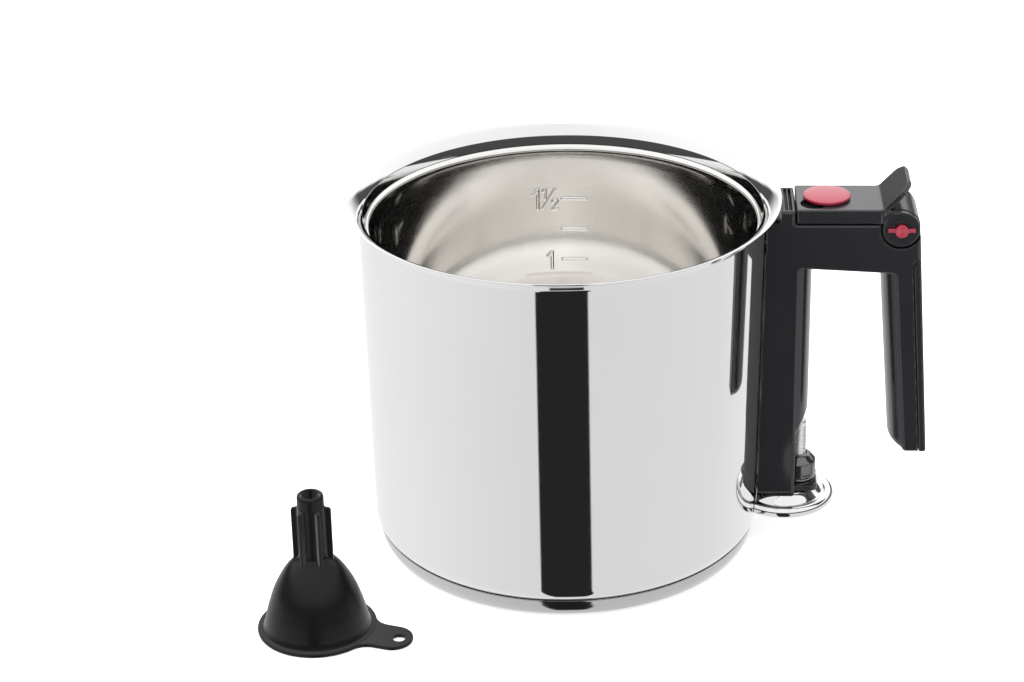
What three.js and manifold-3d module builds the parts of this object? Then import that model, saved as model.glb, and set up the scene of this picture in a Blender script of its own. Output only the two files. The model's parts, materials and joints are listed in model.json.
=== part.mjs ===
// Double-walled melting pot with a bridge handle, a filler lever and a filling funnel.
// Millimetres, +Z up. Origin at the centre of the base, handle along +X.
import * as THREE from 'three';
import { mergeVertices } from 'three/addons/utils/BufferGeometryUtils.js';
import Module from 'manifold-3d';

const wasm = await Module();
wasm.setup();

// ---- Clearances ----
const GAP = 0.3; // between touching pieces
const RUN = 0.3; // radial, between a turning or sliding piece and its hole
const ROUND = 48; // facets round the pot

// ---- Pot ----
const POT_HEIGHT = 148.8; // base to the lip's edge
const BODY_RADIUS = 81.6; // shell outside, at the lip
const LIP_RADIUS = BODY_RADIUS + 5.5; // outer edge of the flared lip
const BODY_TAPER = 0.0147; // shell radius lost per mm downwards
const SHELL_SHEET = 0.8;
const SHELL_FLOOR = 6.0; // underside of the shell's floor
const SHELL_CORNER = 7.0; // outside radius of its bottom corner
const THROAT_NECKING = 0.8; // the throat is this much tighter than the wall below it
const THROAT_LEAN = 1.0; // its face leans in by this much down to the weld
const LIP_RISE = 5.3; // from the throat up to the lip's edge
const CAP_HEIGHT = 7.7; // base cap, floor to its rolled top edge
const CAP_SHEET = 0.6;
const CAP_FOOT_INSET = 4.2; // base cap's flat foot against its top edge
const VESSEL_SHEET = 0.8;
const JACKET_WIDTH = 3.0; // water space between the two walls
const VESSEL_FLOOR = 30.5; // inside floor above the table
const VESSEL_CORNER = 12.0; // inside corner radius
const RIM_DEPTH = 9.5; // welded rim below the lip's edge
const MARK_DROPS = [23.8, 37.8, 51.9]; // 1 1/2, 1 1/4 and 1 litre, below the rim
const MARK_HEIGHT = 0.9;
const MARK_LENGTH = 10.4;
const MARK_RELIEF = 0.35;
const DIGIT_HEIGHT = 8.6;

// ---- Handle ----
const WELL_RADIUS = 8.25; // filler well in the top bar
const SEAT_RADIUS = WELL_RADIUS + 2.75; // sealing ring round it
const HANDLE_WIDTH = 2 * (SEAT_RADIUS + 2.3);
const HANDLE_EDGE = 1.3; // moulded edge rounding
const HANDLE_STANDOFF = 0.4; // to the shell
const LEG_FOOT_Z = 21.0; // bottom of the inner leg
const LEG_OUTER_X = BODY_RADIUS + 12.9; // where its flat sides end
const LEG_BULGE = 5.1; // height of the crowned grip faces
const LEG_BULGE_END_Z = 56.0; // the crown runs out here, above the nut
const BAR_DEPTH = 19.4; // top bar, under the lever
const BAR_SLOPE = 0.055; // the bar's underside falls outwards
const BAR_TOP_Z = POT_HEIGHT - 7.5;
const COLLAR_TOP_Z = POT_HEIGHT - 2.1; // raised block between lip and lever
const COLLAR_END_X = LIP_RADIUS + 5.0;
const WELL_X = COLLAR_END_X + SEAT_RADIUS + 1.6;
const PIVOT_X = WELL_X + 28.8;
const PIVOT_Z = POT_HEIGHT - 9.4;
const GRIP_END_Z = 41.0; // bottom of the outer leg
const GRIP_OUTER_X = PIVOT_X + 13.9; // its outer face at the bottom
const GRIP_LEAN = 6.445 / (PIVOT_Z - GRIP_END_Z); // outward lean, mm per mm
const GRIP_THICK = 9.6; // flat side of the outer leg
const COVER_THICK = 3.0;
const GRIP_CORNER = 5.0; // rounds the grip's inner edge into its bottom
const COVER_TOP_Z = POT_HEIGHT - 22.8;
const CHEEK_RADIUS = 7.3; // lever's cheeks round the pivot
const KNUCKLE_RADIUS = CHEEK_RADIUS + 0.3;

// ---- Filler well and neck ----
const WELL_FLOOR_Z = POT_HEIGHT - 24.8;
const SEAT_THICK = 1.4;
const SEAT_FLOOR_Z = POT_HEIGHT - 11.2;
const NECK_Z = POT_HEIGHT - 20.3;
const NECK_RADIUS = 5.0;
const NECK_BORE = 3.7;
const NECK_REACH = 10.1; // how far it stands out of the shell
const GASKET_RADIUS = 8.2;
const GASKET_THICK = 1.8;
const HOOK_Z = POT_HEIGHT - 48.8;
const HOOK_HEIGHT = 14.0;
const HOOK_WIDTH = 15.0;
const HOOK_SHEET = 1.2;
const HOOK_REACH = 3.6;

// ---- Lever, button, pin ----
const LEVER_TOP_Z = POT_HEIGHT - 1.1;
const LEVER_PLATE = 2.4;
const LEVER_WALL = 2.0;
const LEVER_END_GAP = 6.45; // from the plate's end to the pivot
const LEVER_SKIRT = 3.4; // skirt below the plate
const CHEEK_THICK = 2.4;
const TAB_LENGTH = 13.4;
const TAB_THICK = 2.3;
const TAB_ANGLE = 46.5; // above the horizontal
const TAB_CHAMFER = 4.0;
const BUTTON_RADIUS = 9.4;
const BUTTON_EDGE = 1.3;
const BUTTON_DOME = 0.7;
const STEM_RADIUS = 2.6;
const SEAL_RADIUS = WELL_RADIUS + 0.85;
const SEAL_THICK = 1.4;
const RETAINER_RADIUS = STEM_RADIUS + 2.0;
const RETAINER_THICK = 1.2;
const NOTCH_RADIUS = 5.2; // thumbnail notch beside the button
const PIN_RADIUS = 2.3;
const PIN_KNOB = PIN_RADIUS + 0.3;
const PIN_WING = 10.6;

// ---- Dish, stud and nut ----
const DISH_X = BODY_RADIUS + 8.7;
const DISH_RADIUS = 18.8; // to the middle of its rolled rim
const DISH_RIM = 2.4; // rolled rim, section radius
const DISH_RIM_Z = 15.5;
const DISH_TOP_Z = 20.5;
const DISH_SHEET = 1.3;
const STUD_X = BODY_RADIUS + 14.9;
const STUD_RADIUS = 3.0;
const STUD_TOP_Z = 49.6;
const FOOT_THICK = 2.2;
const FOOT_WIDTH = 20.0;
const FOOT_END_X = STUD_X + 7.5;
const INSERT_RADIUS = STUD_RADIUS + 2.0;
const NUT_RADIUS = INSERT_RADIUS + 2.4;
const WASHER_RADIUS = NUT_RADIUS - 0.6;
const WASHER_THICK = 0.8;
const NUT_HEIGHT = 9.8;
const INSERT_HEIGHT = 5.8;
const NUT_LIFT = 3.2; // how far it climbs

// ---- Funnel ----
const FUNNEL_X = -(BODY_RADIUS + 13.8);
const FUNNEL_Y = -(BODY_RADIUS + 4.4);
const FUNNEL_MOUTH = 23.5;
const FUNNEL_HEIGHT = 59.5;
const FUNNEL_NECK_Z = 32.2;
const FUNNEL_WALL = 1.3;
const SPOUT_RADIUS = 5.4;
const RIB_CLEARANCE = 0.4; // ribs in the filler well
const RIB_THICK = 1.2;
const RIB_TOP_Z = 54.0;
const RIB_COUNT = 6;
const TAB_END = 40.0; // hang tab, from the funnel's axis
const TAB_HALF_WIDTH = 8.0;
const TAB_DIRECTION = -16.8; // degrees from +X
const HANG_HOLE = 2.4;

// ---- Looks ----
const look = (color, roughness, metalness) => ({ color, roughness, metalness });
const POLISHED_STEEL = look(0xd9dbdc, 0.08, 1.0);
const SATIN_STEEL = look(0xb9b8b4, 0.3, 1.0);
const ALUMINIUM = look(0xb4b7ba, 0.45, 1.0);
const CHROME = look(0xe4e6e8, 0.05, 1.0);
const BLACK_PLASTIC = look(0x26282b, 0.4, 0.0);
const LEVER_BLACK = look(0x2b2d31, 0.35, 0.0);
const RED_PLASTIC = look(0xc8284c, 0.35, 0.0);
const SILICONE = look(0x5a5c60, 0.7, 0.0);
const SPRING_STEEL = look(0xa8abb0, 0.25, 1.0);
const BRASS = look(0xc9a356, 0.3, 1.0);
const FUNNEL_BLACK = look(0x1b1c1e, 0.5, 0.0);

const group = new THREE.Group();

// ---- Solid helpers ----
function solid(geometry) {
  const bare = geometry.index ? geometry.toNonIndexed() : geometry.clone();
  bare.deleteAttribute('normal');
  bare.deleteAttribute('uv');
  const merged = mergeVertices(bare, 1e-4);
  const at = merged.attributes.position.array;
  const kept = [];
  let volume = 0;
  const index = merged.index.array;
  for (let i = 0; i < index.length; i += 3) {
    const [a, b, c] = [index[i], index[i + 1], index[i + 2]];
    if (a === b || b === c || c === a) continue;
    kept.push(a, b, c);
    const p = new THREE.Vector3().fromArray(at, a * 3);
    const q = new THREE.Vector3().fromArray(at, b * 3);
    const r = new THREE.Vector3().fromArray(at, c * 3);
    volume += p.dot(q.cross(r));
  }
  if (volume < 0) {
    for (let i = 0; i < kept.length; i += 3) [kept[i], kept[i + 1]] = [kept[i + 1], kept[i]];
  }
  return new wasm.Manifold(new wasm.Mesh({
    numProp: 3,
    vertProperties: Float32Array.from(at),
    triVerts: Uint32Array.from(kept),
  }));
}

function add(name, body, material) {
  const mesh = body.getMesh();
  const geometry = new THREE.BufferGeometry();
  geometry.setAttribute('position', new THREE.BufferAttribute(Float32Array.from(mesh.vertProperties), 3));
  geometry.setIndex(new THREE.BufferAttribute(Uint32Array.from(mesh.triVerts), 1));
  geometry.computeVertexNormals();
  const node = new THREE.Mesh(geometry, new THREE.MeshStandardMaterial(material));
  node.name = name;
  group.add(node);
}

// A solid of revolution about a vertical axis through (x, y); profile is [radius, z] pairs.
function turned(profile, segments = 24, x = 0, y = 0) {
  const points = profile.map(([r, z]) => new THREE.Vector2(Math.max(r, 0), z));
  const geometry = new THREE.LatheGeometry(points, segments);
  geometry.rotateX(Math.PI / 2);
  geometry.translate(x, y, 0);
  return solid(geometry);
}

// A ring profile closed on itself.
const ringOf = (inner, outer, z0, z1) => [[inner, z0], [outer, z0], [outer, z1], [inner, z1], [inner, z0]];

// A cylinder along Z, Y or X.
function rod(axis, radius, from, to, centre, segments = 24) {
  const geometry = new THREE.CylinderGeometry(radius, radius, to - from, segments);
  const middle = (from + to) / 2;
  if (axis === 'z') {
    geometry.rotateX(Math.PI / 2);
    geometry.translate(centre[0], centre[1], middle);
  } else if (axis === 'y') {
    geometry.translate(centre[0], middle, centre[1]);
  } else {
    geometry.rotateZ(Math.PI / 2);
    geometry.translate(middle, centre[0], centre[1]);
  }
  return solid(geometry);
}

function box(x0, x1, y0, y1, z0, z1) {
  const geometry = new THREE.BoxGeometry(x1 - x0, y1 - y0, z1 - z0);
  geometry.translate((x0 + x1) / 2, (y0 + y1) / 2, (z0 + z1) / 2);
  return solid(geometry);
}

function outline(points) {
  const shape = new THREE.Shape();
  points.forEach(([u, v], i) => (i ? shape.lineTo(u, v) : shape.moveTo(u, v)));
  shape.closePath();
  return shape;
}

// A side profile in X and Z, given thickness along Y about y = 0, with rounded edges if asked.
function slab(points, width, edge = 0) {
  const geometry = new THREE.ExtrudeGeometry(outline(points), {
    depth: width - 2 * edge,
    bevelEnabled: edge > 0,
    bevelThickness: edge,
    bevelSize: edge,
    bevelOffset: -edge,
    bevelSegments: 2,
    curveSegments: 8,
  });
  geometry.translate(0, 0, -(width - 2 * edge) / 2);
  geometry.rotateX(Math.PI / 2);
  return solid(geometry);
}

// A plan outline in X and Y, raised from z0 to z1.
function plate(points, z0, z1, edge = 0) {
  const geometry = new THREE.ExtrudeGeometry(outline(points), {
    depth: z1 - z0 - 2 * edge,
    bevelEnabled: edge > 0,
    bevelThickness: edge,
    bevelSize: edge,
    bevelOffset: -edge,
    bevelSegments: 2,
  });
  geometry.translate(0, 0, z0 + edge);
  return solid(geometry);
}

function arc(cx, cy, radius, from, to, steps) {
  const points = [];
  for (let i = 0; i <= steps; i += 1) {
    const angle = THREE.MathUtils.degToRad(from + ((to - from) * i) / steps);
    points.push([cx + radius * Math.cos(angle), cy + radius * Math.sin(angle)]);
  }
  return points;
}

// Round wire along a helix about a vertical axis, then stood up or laid along Y by the caller.
function coil(meanRadius, wire, height, turns, steps) {
  class Helix extends THREE.Curve {
    getPoint(t, target = new THREE.Vector3()) {
      const angle = t * turns * 2 * Math.PI;
      return target.set(meanRadius * Math.cos(angle), meanRadius * Math.sin(angle), t * height);
    }
  }
  const section = outline(arc(0, 0, wire, 0, 300, 5));
  return new THREE.ExtrudeGeometry(section, { steps, extrudePath: new Helix(), bevelEnabled: false });
}

// ---- Pot ----
const wallAt = (z) => BODY_RADIUS - BODY_TAPER * (POT_HEIGHT - z);
const THROAT_Z = POT_HEIGHT - LIP_RISE;
const THROAT_RADIUS = wallAt(THROAT_Z) - SHELL_SHEET - THROAT_NECKING;
const RIM_Z = POT_HEIGHT - RIM_DEPTH;
const CORNER_CENTRE_R = wallAt(SHELL_FLOOR + SHELL_CORNER) - SHELL_CORNER;
const CORNER_CENTRE_Z = SHELL_FLOOR + SHELL_CORNER;
const VESSEL_RADIUS = BODY_RADIUS - SHELL_SHEET - JACKET_WIDTH - VESSEL_SHEET; // inside, at the top
const VESSEL_TAPER = 0.02;
const vesselAt = (z) => VESSEL_RADIUS - VESSEL_TAPER * (RIM_Z - z);

function shellOutline(growth) {
  const corner = arc(CORNER_CENTRE_R, CORNER_CENTRE_Z, SHELL_CORNER + growth, -90, 0, 6);
  return [...corner, [wallAt(75) + growth, 75], [wallAt(THROAT_Z - 4) + growth, THROAT_Z - 4]];
}

// The flared lip's upper face, from the throat out to its edge.
function lipFace() {
  const run = LIP_RADIUS - THROAT_RADIUS;
  return [[0, 0], [0.12, 0.22], [0.28, 0.45], [0.5, 0.69], [0.75, 0.88], [0.98, 0.99]]
    .map(([u, v]) => [THROAT_RADIUS + u * run, THROAT_Z + v * LIP_RISE]);
}

function outerShell() {
  const lip = lipFace();
  const outside = wallAt(THROAT_Z);
  const under = [
    [outside, THROAT_Z + 0.3], [outside + 0.9, THROAT_Z + LIP_RISE * 0.34],
    ...lip.slice(4, 5).map(([r, z]) => [r + SHELL_SHEET * 0.3, z - SHELL_SHEET]),
    [LIP_RADIUS - 0.2, POT_HEIGHT - SHELL_SHEET - 0.1],
  ];
  const profile = [
    [0, SHELL_FLOOR],
    ...shellOutline(0),
    ...under,
    [LIP_RADIUS, POT_HEIGHT - SHELL_SHEET / 2],
    ...lip.reverse(),
    [THROAT_RADIUS - THROAT_LEAN, RIM_Z + 0.6],
    [wallAt(RIM_Z) - SHELL_SHEET, RIM_Z + 0.6],
    [wallAt(75) - SHELL_SHEET, 75],
    ...arc(CORNER_CENTRE_R, CORNER_CENTRE_Z, SHELL_CORNER - SHELL_SHEET, 0, -90, 5),
    [0, SHELL_FLOOR + SHELL_SHEET],
  ];
  const hole = rod('x', NECK_RADIUS + RUN, wallAt(NECK_Z) - 6, wallAt(NECK_Z) + 6, [0, NECK_Z]);
  return turned(profile, ROUND).subtract(hole);
}

// A raised stroke on the far wall, bedded in the sheet along its whole length.
function stroke(x0, z0, x1, z1, width) {
  const length = Math.hypot(x1 - x0, z1 - z0) + width * 0.8;
  const depths = [x0, x1].map((x) => Math.sqrt(vesselAt(z0) ** 2 - x ** 2));
  const y0 = Math.min(...depths) - MARK_RELIEF;
  const y1 = (depths[0] + depths[1]) / 2 + VESSEL_SHEET * 0.4;
  const geometry = new THREE.BoxGeometry(length, y1 - y0, width);
  geometry.rotateY(-Math.atan2(z1 - z0, x1 - x0));
  geometry.translate((x0 + x1) / 2, (y0 + y1) / 2, (z0 + z1) / 2);
  return solid(geometry);
}

// Strokes of the digits 1 and 2 in a unit box, left to right and bottom to top.
const GLYPH = {
  1: [[0.1, 0.72, 0.5, 1], [0.5, 1, 0.5, 0]],
  2: [[0.05, 0.85, 0.4, 1], [0.4, 1, 0.9, 0.78], [0.9, 0.78, 0.05, 0], [0.05, 0, 0.95, 0]],
};

function glyph(digit, x, z, height, width) {
  return GLYPH[digit].map(([a, b, c, d]) =>
    stroke(x + a * height * 0.55, z + b * height, x + c * height * 0.55, z + d * height, width));
}

// Litre marks on the wall opposite the user: a line for each, and numbers at 1 and 1 1/2.
function litreMarks() {
  const pieces = [];
  MARK_DROPS.forEach((drop, i) => {
    const z = RIM_Z - drop;
    const low = z - DIGIT_HEIGHT / 2;
    pieces.push(stroke(-MARK_LENGTH / 2 + 2, z, MARK_LENGTH / 2 + 2, z, MARK_HEIGHT));
    if (i === 2) pieces.push(...glyph(1, -10.2, low, DIGIT_HEIGHT, MARK_HEIGHT));
    if (i === 0) {
      const small = DIGIT_HEIGHT * 0.5;
      pieces.push(...glyph(1, -16.2, low, DIGIT_HEIGHT, MARK_HEIGHT));
      pieces.push(...glyph(1, -11.8, low + small, small, 0.6));
      pieces.push(stroke(-11.2, low + 0.6, -6.4, low + DIGIT_HEIGHT, 0.6));
      pieces.push(...glyph(2, -7.8, low, small, 0.6));
    }
  });
  return pieces;
}

function innerVessel() {
  const rimOut = wallAt(RIM_Z) - SHELL_SHEET - GAP;
  const t = VESSEL_SHEET;
  const r = vesselAt(RIM_Z - 5);
  const low = vesselAt(VESSEL_FLOOR + VESSEL_CORNER);
  const cornerR = low - VESSEL_CORNER;
  const cornerZ = VESSEL_FLOOR + VESSEL_CORNER;
  const profile = [
    [0, VESSEL_FLOOR - t],
    ...arc(cornerR, cornerZ, VESSEL_CORNER + t, -90, 0, 6),
    [r + t, RIM_Z - 5],
    [r + t + 0.4, RIM_Z - 2.6],
    [r + t + 1.7, RIM_Z - 1.4],
    [rimOut - 0.3, RIM_Z - 0.9],
    [rimOut, RIM_Z],
    [rimOut - 0.7, RIM_Z + 0.1],
    [r + 2.1, RIM_Z - 0.5],
    [r + 0.6, RIM_Z - 1.7],
    [r, RIM_Z - 4.6],
    ...arc(cornerR, cornerZ, VESSEL_CORNER, 0, -90, 6),
    [0, VESSEL_FLOOR],
  ];
  return litreMarks().reduce((whole, mark) => whole.add(mark), turned(profile, ROUND));
}

const CAP_TOP_RADIUS = CORNER_CENTRE_R
  + Math.sqrt(SHELL_CORNER ** 2 - (CORNER_CENTRE_Z - CAP_HEIGHT) ** 2) + GAP + CAP_SHEET;

function baseCap() {
  const r = CAP_TOP_RADIUS;
  const foot = r - CAP_FOOT_INSET;
  const t = CAP_SHEET;
  const outside = [[0, 0], [foot, 0], [foot + 2.2, 1.0], [r - 0.5, 3.4], [r, 5.6], [r, CAP_HEIGHT]];
  const inside = [[r - t, CAP_HEIGHT], [r - t, 5.9], [r - t - 0.7, 4.0], [foot + 1.5, 1.5], [foot - 0.4, t], [0, t]];
  return turned([...outside, ...inside], ROUND);
}

function baseCore() {
  const low = CAP_SHEET + GAP;
  const high = SHELL_FLOOR - GAP;
  const r = CAP_TOP_RADIUS - CAP_FOOT_INSET - 0.6;
  return turned([[0, low], [r - 0.6, low], [r, low + 0.9], [r, high - 1.6], [r - 1.6, high], [0, high]], ROUND);
}

add('outer_shell', outerShell(), POLISHED_STEEL);
add('inner_vessel', innerVessel(), SATIN_STEEL);
add('base_core', baseCore(), ALUMINIUM);
add('base_cap', baseCap(), SATIN_STEEL);

// ---- Filler neck, gasket and hook on the wall ----
const neckStart = wallAt(NECK_Z) - SHELL_SHEET - 2.2;
const neckEnd = wallAt(NECK_Z) + NECK_REACH;

function fillerNeck() {
  return rod('x', NECK_RADIUS, neckStart, neckEnd, [0, NECK_Z])
    .subtract(rod('x', NECK_BORE, neckStart - 1, neckEnd + 1, [0, NECK_Z]));
}

function neckGasket() {
  const x0 = wallAt(NECK_Z) + 2 * GAP;
  return rod('x', GASKET_RADIUS, x0, x0 + GASKET_THICK, [0, NECK_Z])
    .subtract(rod('x', NECK_RADIUS + RUN, x0 - 1, x0 + GASKET_THICK + 1, [0, NECK_Z]));
}

function hookBracket() {
  const x = wallAt(HOOK_Z + HOOK_HEIGHT) + GAP;
  const lipZ = HOOK_Z + HOOK_HEIGHT * 0.6;
  const end = x + HOOK_REACH;
  return slab([
    [x, HOOK_Z], [x + HOOK_SHEET, HOOK_Z], [x + HOOK_SHEET, lipZ], [end, lipZ], [end, HOOK_Z + HOOK_HEIGHT],
    [end - HOOK_SHEET, HOOK_Z + HOOK_HEIGHT], [end - HOOK_SHEET, lipZ + HOOK_SHEET],
    [x + HOOK_SHEET, lipZ + HOOK_SHEET], [x + HOOK_SHEET, HOOK_Z + HOOK_HEIGHT], [x, HOOK_Z + HOOK_HEIGHT],
  ], HOOK_WIDTH);
}

add('filler_neck', fillerNeck(), SATIN_STEEL);
add('neck_gasket', neckGasket(), SILICONE);
add('hook_bracket', hookBracket(), SATIN_STEEL);

// ---- Dish bracket and stud ----
function dishBracket() {
  const r = DISH_RADIUS;
  const s = DISH_RIM;
  const flat = r * 0.6;
  const top = [[0, DISH_TOP_Z], [flat, DISH_TOP_Z], [r * 0.75, DISH_TOP_Z - 1.1], [r - s - 0.5, DISH_RIM_Z + 1.3]];
  const rim = arc(r, DISH_RIM_Z, s, 150, -150, 7);
  const under = [
    [r - s - 0.9, DISH_RIM_Z - 0.2],
    [r * 0.74, DISH_TOP_Z - 1.1 - DISH_SHEET], [flat, DISH_TOP_Z - DISH_SHEET], [0, DISH_TOP_Z - DISH_SHEET],
  ];
  const dish = turned([...top, ...rim, ...under], 32, DISH_X, 0);
  const grown = turned([[0, -5], [wallAt(0) + GAP, -5], [wallAt(60) + GAP, 60], [0, 60]], ROUND * 2);
  return dish.subtract(grown)
    .subtract(rod('z', STUD_RADIUS + RUN, 0, 40, [STUD_X, 0]));
}

function stud() {
  const r = STUD_RADIUS;
  const flange = DISH_TOP_Z - DISH_SHEET - GAP;
  return turned([
    [0, flange - 2.2], [r + 1.8, flange - 2.2], [r + 1.8, flange - 0.4], [r, flange - 0.4],
    [r, STUD_TOP_Z - 1.8], [r * 0.86, STUD_TOP_Z - 0.9], [r * 0.5, STUD_TOP_Z - 0.2], [0, STUD_TOP_Z],
  ], 24, STUD_X, 0);
}

add('dish_bracket', dishBracket(), CHROME);
add('stud', stud(), CHROME);

// ---- Handle body ----
const HALF = HANDLE_WIDTH / 2;
const gripOuter = (z) => GRIP_OUTER_X - GRIP_LEAN * (z - GRIP_END_Z);
const gripInner = (z) => gripOuter(z) - GRIP_THICK - 0.012 * (z - GRIP_END_Z);
const barUnder = (x) => BAR_TOP_Z - BAR_DEPTH + 0.3 - BAR_SLOPE * (x - LEG_OUTER_X);
const FOOT_TOP_Z = LEG_FOOT_Z - 0.2 + FOOT_THICK;

function handleSide() {
  const corner = 1.2;
  const top = barUnder(LEG_OUTER_X + corner);
  const farX = gripInner(barUnder(PIVOT_X));
  return [
    [70, LEG_FOOT_Z], [LEG_OUTER_X, LEG_FOOT_Z],
    [LEG_OUTER_X, top - corner], [LEG_OUTER_X + corner, top],
    [farX - corner, barUnder(farX)], [farX, barUnder(farX) - corner],
    [gripInner(GRIP_END_Z + 2), GRIP_END_Z + 2], [gripInner(GRIP_END_Z) + 2, GRIP_END_Z],
    [gripOuter(GRIP_END_Z), GRIP_END_Z],
    ...arc(PIVOT_X, PIVOT_Z, KNUCKLE_RADIUS, -4, 165, 12),
    [COLLAR_END_X, BAR_TOP_Z], [COLLAR_END_X, COLLAR_TOP_Z], [70, COLLAR_TOP_Z],
  ];
}

// Crowned face of a leg: a lens section swept up the leg, its chord on the flat side's edge.
function crown(chordX, sign, z0, z1) {
  const half = HALF - HANDLE_EDGE * 0.6;
  const points = [];
  for (let i = 0; i <= 8; i += 1) {
    const v = -1 + (2 * i) / 8;
    points.push([v * half, sign * LEG_BULGE * Math.sqrt(Math.max(0, 1 - v * v * 0.96)) - sign * LEG_BULGE * 0.2]);
  }
  points.push([half, -sign * 4], [-half, -sign * 4]);
  const scaled = points.map(([y, x]) => [x * 1.25, y]);
  const geometry = new THREE.ExtrudeGeometry(outline(sign > 0 ? scaled.reverse() : scaled), {
    depth: z1 - z0, bevelEnabled: false, steps: 1,
  });
  geometry.translate(0, 0, z0);
  const at = geometry.attributes.position;
  for (let i = 0; i < at.count; i += 1) at.setX(i, at.getX(i) + chordX(at.getZ(i)));
  return solid(geometry);
}

function handleBody() {
  let body = slab(handleSide(), HANDLE_WIDTH, HANDLE_EDGE);
  // crowned grip faces
  const inner = crown(() => LEG_OUTER_X, 1, LEG_BULGE_END_Z - 8, barUnder(LEG_OUTER_X) + 3)
    .subtract(slab([
      [LEG_OUTER_X - 0.01, LEG_BULGE_END_Z - 7], [LEG_OUTER_X + LEG_BULGE + 0.1, LEG_BULGE_END_Z],
      [LEG_OUTER_X + 20, LEG_BULGE_END_Z], [LEG_OUTER_X + 20, LEG_BULGE_END_Z - 20],
      [LEG_OUTER_X - 0.01, LEG_BULGE_END_Z - 20],
    ], 60));
  const lowX = gripInner(GRIP_END_Z) - LEG_BULGE;
  const lowZ = GRIP_END_Z + 0.3;
  const outer = crown(gripInner, -1, GRIP_END_Z - 1, barUnder(PIVOT_X) + 2)
    .subtract(slab([
      [lowX - 8, lowZ - 4], [lowX + 20, lowZ - 4], [lowX + 20, lowZ],
      ...arc(lowX + GRIP_CORNER, lowZ + GRIP_CORNER, GRIP_CORNER, 270, 180, 6), [lowX - 8, lowZ + GRIP_CORNER],
    ], 60));
  body = body.add(inner).add(outer);
  // foot plate that the nut clamps
  const half = FOOT_WIDTH / 2;
  const corner = 3;
  body = body.add(plate([
    [LEG_OUTER_X - 10, -half], [FOOT_END_X - corner, -half],
    ...arc(FOOT_END_X - corner, -half + corner, corner, -60, 0, 2),
    ...arc(FOOT_END_X - corner, half - corner, corner, 0, 90, 3),
    [LEG_OUTER_X - 10, half],
  ], FOOT_TOP_Z - FOOT_THICK, FOOT_TOP_Z));
  // pocket round the nut, open outwards, with a sloping roof
  const pocketBack = STUD_X - NUT_RADIUS - 2.4;
  const pocketTop = FOOT_TOP_Z + NUT_HEIGHT + NUT_LIFT + 7;
  body = body.subtract(slab([
    [pocketBack, FOOT_TOP_Z], [LEG_OUTER_X + 2, FOOT_TOP_Z], [LEG_OUTER_X + 2, STUD_TOP_Z + 1.6],
    [LEG_OUTER_X - 1.6, STUD_TOP_Z + 1.6], [pocketBack, pocketTop],
  ], 2 * (NUT_RADIUS + 1.8)));
  body = body.subtract(rod('z', STUD_RADIUS + RUN + 0.1, LEG_FOOT_Z - 2, FOOT_TOP_Z + 1, [STUD_X, 0]));
  // finger scoops in both side walls beside the nut
  for (const side of [-1, 1]) {
    const scoop = new THREE.SphereGeometry(1, 20, 14);
    scoop.scale(8.5, 3, 16);
    scoop.translate(STUD_X, side * (HALF + 1.3), (FOOT_TOP_Z + LEG_BULGE_END_Z) / 2 - 2.5);
    body = body.subtract(solid(scoop));
  }
  // room for the pot: its wall, and the lip above
  const step = THROAT_Z - 1.2;
  body = body.subtract(turned([
    [0, -5], [wallAt(0) + HANDLE_STANDOFF + 1.4, -5], [wallAt(step) + HANDLE_STANDOFF, step],
    [LIP_RADIUS + HANDLE_STANDOFF, step], [LIP_RADIUS + HANDLE_STANDOFF, POT_HEIGHT + 20], [0, POT_HEIGHT + 20],
  ], ROUND * 2));
  // drip grooves across the collar
  for (const x of [COLLAR_END_X - 1.9, COLLAR_END_X - 3.6]) {
    body = body.subtract(slab([
      [x - 0.6, COLLAR_TOP_Z + 1], [x - 0.25, COLLAR_TOP_Z - 0.9], [x + 0.25, COLLAR_TOP_Z - 0.9],
      [x + 0.6, COLLAR_TOP_Z + 1],
    ], HANDLE_WIDTH - 4));
  }
  // filler well, its seat, and the passage to the neck
  body = body
    .subtract(rod('z', WELL_RADIUS, WELL_FLOOR_Z, BAR_TOP_Z + 10, [WELL_X, 0], 32))
    .subtract(rod('z', SEAT_RADIUS + GAP, SEAT_FLOOR_Z, BAR_TOP_Z + 10, [WELL_X, 0], 32))
    .subtract(rod('x', NECK_BORE, 70, WELL_X, [0, NECK_Z]))
    .subtract(rod('x', NECK_RADIUS + GAP, 70, neckEnd + GAP, [0, NECK_Z]))
    .subtract(rod('x', GASKET_RADIUS + GAP, 70, wallAt(NECK_Z) + 3 * GAP + GASKET_THICK, [0, NECK_Z]));
  // slot for the hook
  body = body.subtract(box(70, wallAt(HOOK_Z) + HOOK_REACH + 2 * GAP + 0.6,
    -HOOK_WIDTH / 2 - 2 * GAP, HOOK_WIDTH / 2 + 2 * GAP, HOOK_Z - 2.5, HOOK_Z + HOOK_HEIGHT + 2.5));
  // recesses for the lever's cheeks, bore for the pin, chamber for the lever spring
  const inside = HALF - CHEEK_THICK - GAP;
  for (const side of [-1, 1]) {
    const [y0, y1] = side < 0 ? [-HALF - 2, -inside] : [inside, HALF + 2];
    body = body.subtract(rod('y', CHEEK_RADIUS + 0.9, y0, y1, [PIVOT_X, PIVOT_Z], 32));
  }
  body = body
    .subtract(rod('y', PIN_RADIUS + RUN, -HALF - 2, HALF + 2, [PIVOT_X, PIVOT_Z]))
    .subtract(rod('y', PIN_RADIUS + 2.9, -4.3, 4.3, [PIVOT_X, PIVOT_Z]));
  // seat for the grip cover
  return body.subtract(slab(coverSide(GAP), HANDLE_WIDTH + 4));
}

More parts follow.
